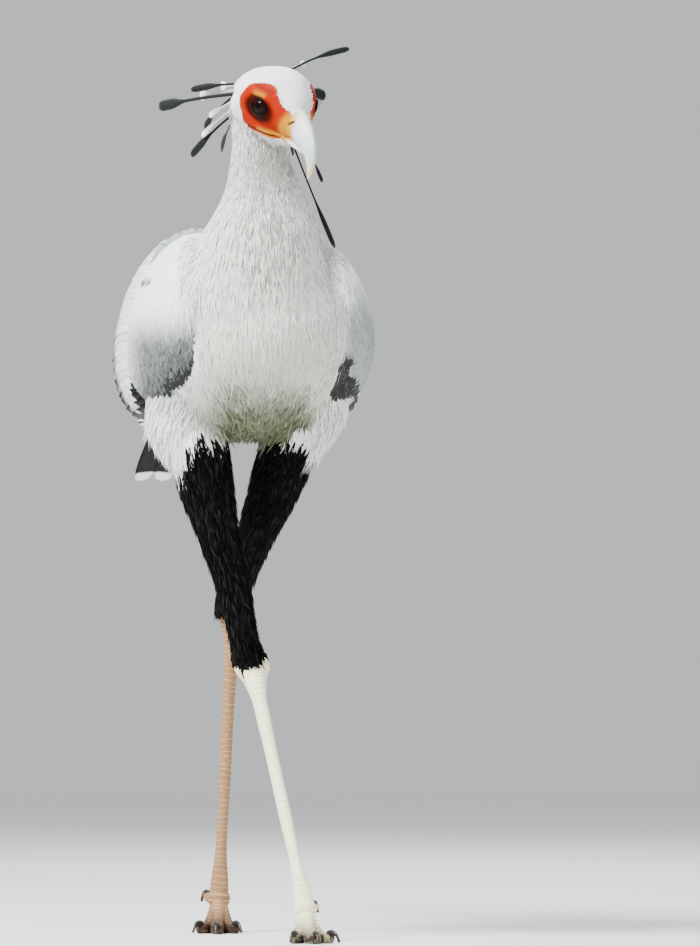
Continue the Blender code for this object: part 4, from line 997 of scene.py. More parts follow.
grown("trouser_feathers", black & (thin < 0.75) & (height > cuff), length=0.023 + 0.009 * ankle,
      width=0.0030, lift=(0.07, 0.26), droop=0.04, material=black_plume, spread=0.12,
      tone=sheen, keel=0.2)

# The head's down
# Short white feathers cover the crown, nape, cheeks and chin up to the edge of the bare face. They are
# the smallest on the bird, lie back from the bill, and shorten towards the bare skin.

off_face = (bare[head_faces].mean(1) < 0.45) + 1e-9
roots, outward, edges, turns = rooted(head_points, head_faces, spacing=0.0011, weight=off_face, rounds=30)
local = to_head(roots)
ahead, aside, rise = local.T
# The head's unwrap fills one tile: round the head one way, and from the bill to the nape the other
around = np.arctan2(aside, rise) / (2 * math.pi) + 0.5
away = np.arctan2(np.hypot(aside, rise), ahead + 0.012) / math.pi
bake = np.stack([(3.04 + 0.92 * around) / 4, (2.04 + 0.92 * away) / 3], -1)
lie = -HEAD_AHEAD + 0.9 * smooth_step(0.01, -0.03, rise)[:, None] * down
leaning = 0.35 * np.sign(aside)[:, None] * HEAD_LEFT
lie = lie + leaning * smooth_step(0.0, 0.02, np.abs(aside))[:, None]
lie = lie + draw.normal(0, 0.10, lie.shape)
angle = np.degrees(np.arctan2(rise + FACE_DROP, ahead)) % 360
past = np.hypot(ahead, rise + FACE_DROP) - read_table(FACE_EDGE, angle)[:, 1]
grow = 0.45 + 0.55 * smooth_step(0.0, 0.009, past)
keep = np.ones(len(roots), bool)
away = lie - outward * np.sum(lie * outward, 1, keepdims=True)
bend = bend_along(unit(away), edges, turns)
# Painted shadow under the chin: leaves in the middle of the throat are darker
throat = np.exp(-((aside / 0.016) ** 2)) * smooth_step(-0.024, -0.034, rise)
white_tone = np.clip(1 - 0.2 * draw.random(len(roots)) - 0.7 * throat, 0, 1)
ruff = smooth_step(-0.030, -0.044, ahead) * smooth_step(0.016, -0.004, rise)
ruffed = draw.random(len(roots)) < 0.6 * ruff
grown("head_feathers", (ahead < 0.034) & ~ruffed, length=0.0068 * grow, width=0.0017, lift=(0.06, 0.15),
      droop=0.03, tone=white_tone)
grown("ruff_feathers", ruffed, length=0.008 + 0.010 * ruff, width=0.0022, lift=(0.14, 0.34), droop=0.10,
      spread=0.16, tone=white_tone)

# The bill
# A hooked bill of horn over bone, pale blue-grey with an ivory hook. Yellow waxy skin runs over its root
# and along the gape, with a slit of a nostril in it on each side. Two tubes along bent middle lines.

UPPER_BILL = (
    (0.022, 0, -0.0040, 0.0165, 0.0165),
    (0.036, 0, -0.0052, 0.0150, 0.0175),
    (0.050, 0, -0.0080, 0.0122, 0.0165),
    (0.063, 0, -0.0125, 0.0097, 0.0143),
    (0.0745, 0, -0.0198, 0.0072, 0.0104),
    (0.0810, 0, -0.0300, 0.0050, 0.0065),
    (0.0832, 0, -0.0400, 0.0027, 0.0034),
    (0.0832, 0, -0.0480, 0.0009, 0.0010),
)
LOWER_BILL = (
    (0.020, 0, -0.0260, 0.0126, 0.0062),
    (0.034, 0, -0.0258, 0.0102, 0.0048),
    (0.046, 0, -0.0260, 0.0076, 0.0039),
    (0.055, 0, -0.0264, 0.0052, 0.0031),
    (0.061, 0, -0.0269, 0.0030, 0.0021),
    (0.0645, 0, -0.0273, 0.0010, 0.0009),
)
# The nostril's middle, ahead and up
NOSTRIL = np.array([0.0405, -0.0022])

bill_horn, shader = material_with("bill_horn", 0.34, coat=0.05, gloss=0.15)
tree = bill_horn.node_tree
horn = mixed(tree, patches(tree, 120.0), (0.46, 0.55, 0.53), (0.62, 0.70, 0.66))
# The dark hollow tint is painted shade in the nostril and under the lower bill
horn = tinted(tree, horn, hook=(0.80, 0.60, 0.32), cere=(0.52, 0.21, 0.006), hollow=(0.030, 0.024, 0.012))
tree.links.new(horn, shader.inputs["Base Color"])
grain = add(tree, "ShaderNodeTexNoise", Scale=300.0, Detail=4.0)
stretch = placed(tree, add(tree, "ShaderNodeMapping", Scale=(1.0, 1.0, 0.25)))
tree.links.new(stretch.outputs["Vector"], grain.inputs["Vector"])
bumped(tree, shader, grain.outputs["Fac"], 0.18, 0.0005)


def bill_half(name, rows, node, ridge):
    """A tube whose section is an oval drawn in above towards a ridge: the side is narrowed by a share
    of the squared height. Masks give the waxy root and the hook by place, and painted shade in the
    nostril's slit and under the lower bill."""
    path = sections(rows, 110, -HEAD_LEFT, from_head)
    rings = rings_of(path, 72)
    local = to_head(rings)
    height = np.sum((rings - path["middle"][:, None]) * path["up"][:, None], -1)
    height = np.clip(height / path["sizes"][:, 1:2], -1, 1)
    local[..., 1] *= 1 - ridge * np.maximum(height, 0) ** 2
    flat = np.stack([local[..., 0], local[..., 2]], -1).reshape(-1, 2)
    shaded_slit_and_underside = near_line(flat, NOSTRIL + [-0.0034, -0.0032], NOSTRIL + [0.0034, 0.0034], 0.0013)
    # On the lower bill the dark mask is painted shade under its lower edge
    shaded_slit_and_underside = np.minimum(1.6 * shaded_slit_and_underside, 1.0) if ridge > 0 else 0.5 * smooth_step(-0.0262, -0.0300, flat[:, 1])
    cere = smooth_step(0.0505, 0.0405, flat[:, 0] + 0.25 * flat[:, 1] + 0.0010 * np.sin(flat[:, 1] * 900))
    if ridge > 0:
        cere = cere * smooth_step(0.010, 0.000, flat[:, 1] - 0.0035)
        cutting = near_line(flat, (0.030, -0.0215), (0.052, -0.0240), 0.0022)
        cere = np.maximum(cere, 0.7 * cutting)
        local[..., 1] *= 1 - 0.10 * shaded_slit_and_underside.reshape(local.shape[:2]) + 0.05 * cutting.reshape(local.shape[:2])
    else:
        cere = smooth_step(0.0460, 0.0300, flat[:, 0]) * smooth_step(-0.0320, -0.0262, flat[:, 1])
    hook = smooth_step(-0.022, -0.040, flat[:, 1]) * (ridge > 0)
    # The two poles come last: the root's, then the tip's
    masks = {
        "cere": np.append(cere, [1.0, 0.0]),
        "hook": np.append(hook, [0.0, 1.0]),
        "hollow": np.append(shaded_slit_and_underside, [0.0, 0.0]),
    }
    piece = new_piece(name, closed_tube(from_head(local)), [bill_horn], masks=masks)
    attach(piece, "root")
    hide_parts(node)


bill_half("upper_bill", UPPER_BILL, "bill_upper", ridge=0.42)
bill_half("lower_bill", LOWER_BILL, "bill_lower", ridge=0.0)

# The eyes
# Dark brown eyes with a black pupil under a wet, bulging window. Each is a ball swollen in front, in
# thick dark lids with a rim that follows the opening, and stiff black lashes over the upper lid.

eye_wet, shader = material_with("eye_wet", 0.10, coat=0.12, gloss=0.03)
tree = eye_wet.node_tree
iris = mixed(tree, patches(tree, 900.0), (0.003, 0.0012, 0.001), (0.012, 0.0035, 0.002))
tree.links.new(mixed(tree, mask(tree, "pupil"), iris, (0.001, 0.001, 0.001)), shader.inputs["Base Color"])
lid_skin = mottled("lid_skin", 0.45, 700.0, (0.002, 0.001, 0.001), (0.006, 0.002, 0.0015), gloss=0.04)
lash_hair = mottled("lash_hair", 0.5, 500.0, (0.003, 0.003, 0.003), (0.008, 0.007, 0.006))
# Points round the eye, and round the section of a lid's rim
EYE_STEPS, RIM_STEPS = 64, 10
for hand, side_name in SIDES:
    middle, level, own_up, look = eye_frame(hand)
    polar = np.linspace(0.03, math.pi - 0.03, 60)
    t = np.linspace(0, 2 * math.pi, EYE_STEPS, endpoint=False)
    swollen = (EYE_RADIUS + 0.0007 * np.exp(-((polar / 0.55) ** 2)))[:, None, None]
    round_way = np.cos(t)[:, None] * level + np.sin(t)[:, None] * own_up
    ways = np.sin(polar)[:, None, None] * round_way[None] + np.cos(polar)[:, None, None] * look
    surface = closed_tube(middle + ways * swollen)
    pupil = np.append(np.repeat(smooth_step(0.46, 0.42, polar), EYE_STEPS), [1, 0])
    eye = new_piece(f"eyeball_{side_name}", surface, [eye_wet], masks={"pupil": pupil})
    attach(eye, "root")
    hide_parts(f"eye_{side_name}")
    # The rim is a thin ring that follows the opening between the lids
    x, z = EYE_WIDE * np.cos(t), EYE_TALL * np.sin(t) + 0.0006
    z = z - 0.0012 * np.cos(t) ** 2 * np.sign(np.cos(t) * hand)
    y = np.sqrt(np.maximum((LID_RADIUS - 0.0003) ** 2 - x**2 - z**2, 1e-6))
    loop = middle + x[:, None] * level + z[:, None] * own_up + y[:, None] * look
    out = unit(loop - middle)
    way = unit(np.roll(loop, -1, 0) - np.roll(loop, 1, 0))
    flat_way = np.cross(way, out)
    turn = np.linspace(0, 2 * math.pi, RIM_STEPS, endpoint=False)
    thick = (0.0010 + 0.0006 * np.clip(np.sin(t), 0, 1))[:, None, None]
    ring = np.cos(turn)[None, :, None] * flat_way[:, None] * 1.3 + np.sin(turn)[None, :, None] * out[:, None]
    rim = (loop[:, None] + ring * thick).reshape(-1, 3)
    i, j = np.meshgrid(np.arange(EYE_STEPS), np.arange(RIM_STEPS), indexing="ij")
    next_i, next_j = (i + 1) % EYE_STEPS, (j + 1) % RIM_STEPS
    a, b = i * RIM_STEPS + j, i * RIM_STEPS + next_j
    c, d = next_i * RIM_STEPS + next_j, next_i * RIM_STEPS + j
    faces = faced_out(rim, np.stack([a, b, c, a, c, d], -1).reshape(-1, 3))
    lids = new_piece(f"lid_rims_{side_name}", (rim, faces), [lid_skin])
    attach(lids, "root")
    # Lashes stand on the upper part of the rim
    pick = np.arange(5, 28)
    n = len(pick)
    fan = unit(0.55 * look[None] + 0.5 * own_up[None] + np.cos(t[pick])[:, None] * level[None] * 0.9)
    leaves(f"lashes_{side_name}", loop[pick] + out[pick] * 0.0004, unit(own_up[None] + 0 * fan), fan,
           bend=np.zeros(n), length=np.full(n, 0.0060), width=np.full(n, 0.00055), lift=np.full(n, 0.35),
           droop=np.full(n, -0.25), sway=draw.normal(0, 0.1, n), bake=np.tile([0.97, 0.97], (n, 1)),
           tone=draw.random(n), material=lash_hair, on_skin=False)

# The bare legs and feet
# Long bare shins, armoured in front with broad overlapping scutes and netted with small scales behind,
# on short thick toes with padded soles. Claws of dark worn horn. Tubes stepped by the scutes.

# Share of the way from ankle to foot, half width and half depth there
SHIN = (
    (-0.045, 0.0100, 0.0080), (-0.025, 0.0175, 0.0120), (0.000, 0.0200, 0.0135), (0.040, 0.0150, 0.0125),
    (0.100, 0.0098, 0.0105), (0.250, 0.0074, 0.0088), (0.600, 0.0068, 0.0080), (0.880, 0.0072, 0.0078),
    (0.960, 0.0100, 0.0085), (1.020, 0.0105, 0.0085),
)
# Name, degrees to the side, length, half width at the root and at the tip
TOES = (
    ("inner", -28.0, 0.043, 0.0082, 0.0058),
    ("middle", 0.0, 0.058, 0.0088, 0.0062),
    ("outer", 28.0, 0.045, 0.0082, 0.0058),
)
# Share of a toe's length, share of the fall from the joint to the ground, and swell of the pad there
TOE_SPOTS = (
    (0.00, 0.78, 1.05), (0.16, 0.52, 1.0), (0.36, 0.22, 0.98), (0.55, 0.0, 1.08),
    (0.72, 0.0, 0.92), (0.90, 0.0, 1.10), (1.0, 0.03, 0.75),
)
TOE_HEIGHT = 0.0056
# Share of the hind toe's length and the radius there
HIND_TOE = ((0, 0.0075), (0.4, 0.0070), (0.75, 0.0062), (1, 0.0045))
HIND_LENGTH = 0.026
# Half width and half depth of the pad over the foot's joint
JOINT_PAD = np.array([0.0125, 0.0110])
CLAW_LENGTH, CLAW_HALF = 0.021, 0.0043
# Degrees through which the claws of the front toes and the hind toe curl
CLAW_CURL, HIND_CLAW_CURL = 62.0, 78.0
# Length of a scute on the shin and on a toe
SCUTE, TOE_SCUTE = 0.0056, 0.0042


def leg_finish(name, plate, plate_far, groove):
    """Horny scales: two plate colours in patches, another in the grooves between plates and in a net,
    and painted shade, dark brown in patches, on the lowest part near the ground."""
    material, shader = material_with(name, 0.45, gloss=0.12)
    tree = material.node_tree
    colour = mixed(tree, patches(tree, 70.0, 4.0), plate, plate_far)
    net = placed(tree, add(tree, "ShaderNodeTexVoronoi", feature="DISTANCE_TO_EDGE", Scale=330.0))
    lines = between(tree, net.outputs["Distance"], 0.0, 0.10, 1.0, 0.0)
    netted = sums(tree, "MULTIPLY", lines, sums(tree, "SUBTRACT", 1.0, mask(tree, "scutes")))
    lined = sums(tree, "MAXIMUM", sums(tree, "MULTIPLY", netted, 0.6), mask(tree, "groove"))
    colour = mixed(tree, lined, colour, groove)
    height = placed(tree, tree.nodes.new("ShaderNodeSeparateXYZ")).outputs["Z"]
    # Painted shade near the ground: the lowest part darkens to brown in patches
    ground_shade = between(tree, height, 0.008, 0.030, 1.0, 0.0)
    ground_shade_patches = sums(tree, "MULTIPLY_ADD", patches(tree, 160.0), 1.1, 0.38)
    colour = mixed(tree, sums(tree, "MULTIPLY", ground_shade, ground_shade_patches), colour, (0.034, 0.017, 0.013))
    tree.links.new(colour, shader.inputs["Base Color"])
    bumped(tree, shader, sums(tree, "SUBTRACT", 1.0, netted), 0.5, 0.0006)
    return material


# One finish of scales in two copies: pale cream painted lit for the right leg, tan painted shaded for the
# left
lit_leg_scales = leg_finish("lit_leg_scales", (0.96, 0.96, 0.68), (0.94, 0.90, 0.56), (0.62, 0.52, 0.32))
shaded_leg_scales = leg_finish("shaded_leg_scales", (0.36, 0.22, 0.11), (0.25, 0.115, 0.055), (0.58, 0.46, 0.27))
claw_horn = mottled("claw_horn", 0.34, 420.0, (0.007, 0.006, 0.006), (0.034, 0.027, 0.022), detail=5.0,
                    coat=0.15)
tree = claw_horn.node_tree
bumped(tree, tree.nodes["Principled BSDF"], patches(tree, 800.0), 0.15, 0.0004)


def scaled_tube(rows, count, around, across, facing, step, proud):
    """A tube with scutes on the side that faces a direction: along the path the surface climbs to each
    plate's lower edge and drops, by a saw of the distance over the plate's length. Two sines of the
    distance and of the turn make the plates uneven."""
    path = sections(rows, count, np.array(across, float))
    rings = rings_of(path, around)
    along = np.concatenate([[0.0], np.cumsum(np.linalg.norm(np.diff(path["middle"], axis=0), axis=1))])
    out = unit(rings - path["middle"][:, None])
    front = smooth_step(-0.15, 0.35, out @ unit(np.array(facing, float)))
    turn = np.linspace(0, 2 * math.pi, around, endpoint=False)
    wavy = along[:, None] + 0.0013 * np.sin(170 * along)[:, None]
    wavy = wavy + 0.0007 * np.sin(2 * turn + 60 * along[:, None])
    saw = (wavy / step) % 1.0
    plate = saw**1.5 * smooth_step(1.0, 0.86, saw)
    rings = rings + out * (plate * front * proud)[..., None]
    groove = smooth_step(0.88, 1.0, saw) + smooth_step(0.10, 0.0, saw)
    points, faces = closed_tube(rings)
    masks = {"scutes": np.append(front, [0.0, 0.0]), "groove": np.append(groove * front * 0.8, [0.0, 0.0])}
    return (points, faces), masks


def build_leg(side_name, ankle, foot, heading, hand, scales):
    """Shin, joint pad, four toes and their claws. A toe runs down from the joint and along the ground,
    swelling over each pad, and is levelled off where it would pass below it."""
    ankle, foot, heading = np.array(ankle), np.array(foot), math.radians(heading)
    across = np.array([math.cos(heading), math.sin(heading), 0.0])
    ahead = np.array([math.sin(heading), -math.cos(heading), 0.0])
    rows = [(*(ankle + (foot - ankle) * s), wide, deep) for s, wide, deep in SHIN]
    parts = [scaled_tube(rows, 420, 28, across, ahead, step=SCUTE, proud=0.0005)]
    pad = []
    for a in np.linspace(-math.pi / 2, math.pi / 2, 9):
        middle = foot + np.array([0, 0, -0.004 + 0.012 * math.sin(a)])
        pad.append((*middle, *(JOINT_PAD * math.cos(a) + 1e-4)))
    parts.append(scaled_tube(pad, 30, 28, across, ahead, step=SCUTE, proud=0.0004))
    claws, claw_nodes, toes = [], [], []
    for name, turn, reach, root_half, tip_half in TOES:
        angle = heading + math.radians(turn)
        way = np.array([math.sin(angle), -math.cos(angle), 0.0])
        rows = []
        for s, height, swell in TOE_SPOTS:
            half = (root_half + (tip_half - root_half) * s) * swell
            middle = foot + way * reach * s
            middle[2] = TOE_HEIGHT + (foot[2] - TOE_HEIGHT) * height
            rows.append((*middle, half, half))
        toes.append((rows, way, CLAW_CURL))
        claw_nodes.append(f"claw_{side_name}_{name}")
    # The hind toe points back and to the side, and rises a little
    angle = heading + math.radians(180.0 + 34.0 * hand)
    way = unit(np.array([math.sin(angle), -math.cos(angle), 0.12]))
    start = foot + np.array([0.0, 0.0, -0.006])
    hind = [(*(start + way * HIND_LENGTH * s), half, half) for s, half in HIND_TOE]
    toes.append((hind, way, HIND_CLAW_CURL))
    claw_nodes.append(f"claw_{side_name}_hind")
    for rows, way, curl in toes:
        parts.append(scaled_tube(rows, 90, 24, across, (0, 0, 1), step=TOE_SCUTE, proud=0.0006))
        # A claw leaves the toe's end above its middle, arches and curls down along a circle
        end = np.array(rows[-1][:3]) - way * 0.004
        s = np.linspace(0, 1, 12)
        bend = math.radians(curl) * s
        forward = CLAW_LENGTH * np.sin(bend) / math.radians(curl)
        fall = CLAW_LENGTH * (1 - np.cos(bend)) / math.radians(curl)
        middle = end + way * forward[:, None]
        middle[:, 2] += 0.0034 + 0.0035 * np.sin(s * math.pi * 0.8) - fall
        half = CLAW_HALF * (1 - s) ** 0.9 + 0.0003
        path = np.column_stack([middle, half * 0.8, half, half * 0.9])
        claws.append(closed_tube(rings_of(sections(path, 40, np.cross(way, [0.0, 0.0, 1.0])), around=24)))
    surface = joined([p for p, _ in parts])
    surface[0][:, 2] = np.maximum(surface[0][:, 2], 0.0)
    masks = {key: np.concatenate([m[key] for _, m in parts]) for key in ("scutes", "groove")}
    leg = new_piece(f"leg_{side_name}", surface, [scales], masks=masks)
    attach(leg, "root")
    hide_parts(f"shin_{side_name}", f"foot_{side_name}")
    surface = joined(claws)
    surface[0][:, 2] = np.maximum(surface[0][:, 2], 0.0)
    talons = new_piece(f"claws_{side_name}", surface, [claw_horn])
    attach(talons, "root")
    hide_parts(*claw_nodes)


# Side, hand, ankle, foot's joint, degrees that the foot points to the bird's left, finish of the scales,
# which is one finish painted lit on the right leg and painted shaded on the left, and the share of their
# length that the last feathers have behind the ankle
LEGS = (
    ("right", -1, (0.002, 0.047, 0.297), (0.061, -0.136, 0.040), 12.0, lit_leg_scales, 0.35),
    ("left", 1, (-0.020, 0.163, 0.362), (-0.036, 0.170, 0.042), -2.0, shaded_leg_scales, 0.80),
)
for side_name, hand, ankle, foot, heading, scales, _ in LEGS:
    build_leg(side_name, ankle, foot, heading, hand, scales)

# The trousers' last feathers hang over the ankle all round
n = 1100
for side_name, _, ankle, foot, heading, _, back_share in LEGS:
    ankle, axis, heading = np.array(ankle), unit(np.array(foot) - np.array(ankle)), math.radians(heading)
    turn = draw.uniform(-math.pi, math.pi, n)[:, None]
    behind = smooth_step(0.75, 1.5, np.abs(turn[:, 0]))
    across = np.sin(turn) * np.array([math.cos(heading), math.sin(heading), 0.0])
    out = across + np.cos(turn) * np.array([math.sin(heading), -math.cos(heading), 0.0])
    start = ankle + 0.0165 * out + 0.0030 * across - axis * draw.uniform(0.006, 0.020, n)[:, None]
    leaves(f"ankle_feathers_{side_name}", start, out, axis + 0.12 * across, bend=np.zeros(n),
           length=draw.uniform(0.018, 0.026, n) * (1 - (1 - back_share) * behind), width=np.full(n, 0.0030),
           lift=draw.uniform(0.04, 0.16, n), droop=np.full(n, 0.03), sway=draw.normal(0, 0.12, n),
           bake=atlas(owner_of(start, FORMS)), tone=draw.random(n) ** 4, material=black_plume,
           keel=0.2, outline=FINE_LEAF, on_skin=False)

# The wings' feathers
# Folded wings: black flight feathers along the lower edge and the rear, grey coverts over them in tiers,
# each feather a closed cambered vane on a shaft, rooted in the wing and lying on the one behind it.

# Shares of a vane's length at which it has a section, and a section's points, round from one edge
STATIONS = np.array([0.0, 0.06, 0.15, 0.27, 0.40, 0.53, 0.65, 0.76, 0.85, 0.91, 0.955, 0.982, 1.0])
VANE_ROW = np.array([-1.0, -0.55, 0.0, 0.55, 1.0, 0.55, 0.0, -0.55])
VANE_SIDE = np.array([0.0, 1.0, 1.0, 1.0, 0.0, -1.0, -1.0, -1.0])


def feathers(name, lines, across, normals, halves, material, replaced=(), shares=STATIONS,
             camber=0.14, thick=0.0005):
    """Vanes: a section is a flat lens, its points the middle plus u times the half width across, raised
    by the camber times one minus u squared, and apart by the thickness. u runs from edge to edge above
    and back below. The shaft stands up along the middle above."""
    count, stations = lines.shape[:2]
    u = VANE_ROW[None, None, :, None]
    half = halves[..., None, None]
    dome = 1 - u**2
    lens = VANE_SIDE[None, None, :, None] * (thick * dome + (u == 0) * 0.0003)
    rings = lines[:, :, None] + across[:, :, None] * half * u
    rings = rings + normals[:, :, None] * (camber * half * (dome - 0.6) + lens * np.minimum(half / 0.004, 1))
    ends = rings[:, [0, -1]].mean(2)
    points = np.concatenate([rings.reshape(count, -1, 3), ends], 1)
    per = points.shape[1]
    one = faced_out(points[0], closed_faces(stations, len(VANE_ROW)))
    faces = (one[None] + (np.arange(count) * per)[:, None, None]).reshape(-1, 3)
    vane = np.broadcast_arrays((VANE_ROW[None] + 1) / 2, np.asarray(shares)[:, None])
    vane = np.concatenate([np.stack(vane, -1).reshape(-1, 2), [(0.5, shares[0]), (0.5, shares[-1])]])
    grid = math.ceil(math.sqrt(count))
    cell = np.stack([np.arange(count) % grid, np.arange(count) // grid], -1)
    maps = {
        "OFBake": ((cell[:, None] + 0.08 + 0.84 * vane[None]) / grid).reshape(-1, 2),
        "vane": np.tile(vane, (count, 1)),
    }
    masks = {"tone": np.repeat(draw.random(count), per)}
    piece = new_piece(name, (points.reshape(-1, 3), faces), [material], maps, masks)
    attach(piece, "root")
    if replaced:
        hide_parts(*replaced)


def rounded(shares, root=0.30, full=0.25, blunt=2.6):
    """A vane's outline: it widens from the root by a smooth step, and closes at the tip as a rounded end,
    the blunt root of one minus the last part to the blunt power."""
    grow = root + (1 - root) * smooth_step(0.0, full, shares)
    last = np.clip((shares - 0.45) / 0.55, 0, 1)
    return grow * (1 - last**blunt) ** (1 / blunt) + 0.015


def on_wing(behind, angle, lift, hand):
    """A place on the folded wing in the body's frame: the oval of its section at an angle, lifted along
    the surface's own normal."""
    read = read_table(WING, np.clip(behind, WING[0][0], WING[-1][0]).ravel())[:, 1:].T
    out, thick, height, half = (v.reshape(behind.shape) for v in read)
    c, s = np.cos(np.radians(angle)), np.sin(np.radians(angle))
    lean = WING_LEAN[hand]
    normal = np.stack([c / np.maximum(thick, 0.01), 0 * c, s / np.maximum(half, 0.01)], -1)
    normal[..., 0] += 0.4 * lean * normal[..., 2]
    normal = unit(normal)
    place = np.stack([out + thick * c - lean * half * s, behind + 0 * c, height + half * s], -1)
    flip = np.array([hand, 1.0, 1.0])
    return (place + normal * lift[..., None]) * flip, normal * flip


flight_black = feather_finish("flight_black", (0.004, 0.004, 0.005), (0.010, 0.010, 0.012),
                              (0.016, 0.015, 0.014), barbs=900.0, tip_from=0.9, rough=0.45, gloss=0.08)
covert_grey = feather_finish("covert_grey", (0.24, 0.27, 0.29), (0.38, 0.41, 0.44), (0.14, 0.15, 0.16),
                             barbs=500.0, tip_from=0.93, rough=0.6, edge=(0.12, 0.13, 0.14))
covert_pale = feather_finish("covert_pale", (0.58, 0.62, 0.65), (0.76, 0.80, 0.83), (0.50, 0.54, 0.57),
                             barbs=400.0, tip_from=0.94, rough=0.6, edge=(0.36, 0.40, 0.43))
# Tiers, the lowest first: name, finish, how many, first root (behind, angle), last root, first and last
# length, half width, lift at the tip, slope down the way
WING_TIERS = (
    ("primaries", flight_black, 10, (0.150, -52.0), (0.215, -2.0), (0.215, 0.190), 0.0150, 0.0022, 0.02),
    ("secondaries", flight_black, 15, (0.020, -74.0), (0.090, 22.0), (0.200, 0.178), 0.0165, 0.0036, 0.06),
    ("tertials", covert_grey, 9, (0.085, 24.0), (0.040, 84.0), (0.190, 0.185), 0.0175, 0.0045, 0.05),
    ("scapulars", covert_grey, 9, (0.046, 44.0), (0.012, 100.0), (0.124, 0.112), 0.0160, 0.0050, 0.05),
    ("greater_coverts", covert_grey, 24, (0.072, -66.0), (0.088, 42.0), (0.062, 0.068), 0.0098, 0.0036, 0.07),
    ("middle_coverts", covert_grey, 30, (0.058, -64.0), (0.072, 60.0), (0.046, 0.050), 0.0078, 0.0040, 0.08),
    ("lesser_coverts", covert_pale, 36, (0.044, -62.0), (0.058, 78.0), (0.034, 0.036), 0.0064, 0.0044, 0.08),
)
for hand, side_name in SIDES:
    for tier, finish, count, first, last, lengths, half, lift, slope in WING_TIERS:
        share = np.linspace(0, 1, count)[:, None]
        jitter = draw.normal(0, 1, (2, count, 1))
        length = lengths[0] + (lengths[1] - lengths[0]) * share + 0.004 * jitter[0]
        span = STATIONS[None] * 1.10 - 0.10
        back = first[0] + (last[0] - first[0]) * share + length * span
        inside = read_table(WING, np.clip(back, WING[0][0], WING[-1][0]).ravel())[:, 4].reshape(back.shape)
        dip = np.degrees(slope * length * np.clip(span, 0, 1) / np.maximum(inside, 0.03))
        angle = first[1] + (last[1] - first[1]) * share + 0.7 * jitter[1] - dip
        rise = np.interp(span, [-0.10, 0.12, 0.55, 0.9, 1.0], [-0.010, -0.0015, 0.7 * lift, lift, lift])
        rise = rise + 0.0004 * (np.arange(count) % 2)[:, None]
        line, normal = on_wing(back, angle, rise, hand)
        way = unit(np.gradient(line, axis=1))
        across = unit(np.cross(normal, way)) + 0.11 * hand * normal
        line, base = turn_body(line), turn_body(np.zeros(3))
        across, normal = turn_body(across) - base, turn_body(normal) - base
        halves = half * rounded(STATIONS)[None] * np.ones((count, 1))
        replaced = (f"wing_{side_name}",) if tier == "primaries" else ()
        feathers(f"{tier}_{side_name}", line, across, normal, halves, finish, replaced)

# The tail
# Twelve grey feathers, the middle pair far the longest, each with a black band before a white end. They
# leave the tail's root fanned a little and lie over one another.

# Pairs from the middle out: length, half width, place aside and up, degrees of the fan
TAIL_VANES = (
    (0.545, 0.0170, 0.006, 0.0075, 0.6),
    (0.330, 0.0200, 0.010, 0.0050, 1.6),
    (0.305, 0.0200, 0.014, 0.0025, 2.6),
    (0.280, 0.0190, 0.018, 0.0000, 3.6),
    (0.250, 0.0180, 0.021, -0.0025, 4.6),
    (0.215, 0.0170, 0.023, -0.0050, 5.6),
)
tail_barred, shader = material_with("tail_barred", 0.6, gloss=0.03)
tree = tail_barred.node_tree
group = add(tree, "ShaderNodeGroup", node_tree=barb_lines)
group.inputs["Count"].default_value = 1400.0
colour = mixed(tree, mask(tree, "tone"), (0.26, 0.28, 0.30), (0.38, 0.41, 0.44))
for start, end, tint in ((0.54, 0.64, (0.005, 0.005, 0.006)), (0.925, 0.945, (0.88, 0.88, 0.86))):
    colour = mixed(tree, between(tree, group.outputs["Along"], start, end, kind="SMOOTHSTEP"), colour, tint)
tree.links.new(colour, shader.inputs["Base Color"])
bumped(tree, shader, group.outputs["Height"], 0.25, 0.0003)
TAIL_STATIONS = np.concatenate([np.linspace(0, 0.84, 16), [0.89, 0.93, 0.96, 0.985, 1.0]])
rows = [(*row, hand) for row in reversed(TAIL_VANES) for hand in (-1, 1)]
length, half, aside, height, fan, hand = np.array(rows).T[:, :, None]
span = TAIL_STATIONS[None] * 1.02 - 0.02
along = length * span
x = hand * aside * np.clip(0.35 + span * 4, 0.35, 1.0) + along * np.sin(np.radians(fan) * hand)
z = height * np.clip(0.3 + span * 5, 0.3, 1.0) - 0.035 * along**2
line = np.stack([x, along * np.cos(np.radians(fan)), z], -1)
across = np.stack(np.broadcast_arrays(1.0 + 0 * x, 0.0, -0.10 * hand), -1)
normal = np.stack(np.broadcast_arrays(0.10 * hand + 0 * x, 0.0, 1.0), -1)
base = tail_frame(np.zeros(3))
feathers("tail_feathers", tail_frame(line), tail_frame(across) - base, tail_frame(normal) - base,
         half * rounded(TAIL_STATIONS, 0.3, 0.45, 3.0)[None], tail_barred,
         replaced=("tail",), shares=TAIL_STATIONS)

# The crest
# Long black quills stand from the nape, each a bare stem that ends in a narrow paddle, among white
# wisps. Roots sit in the skull's rear and the tips are where the air has blown them.

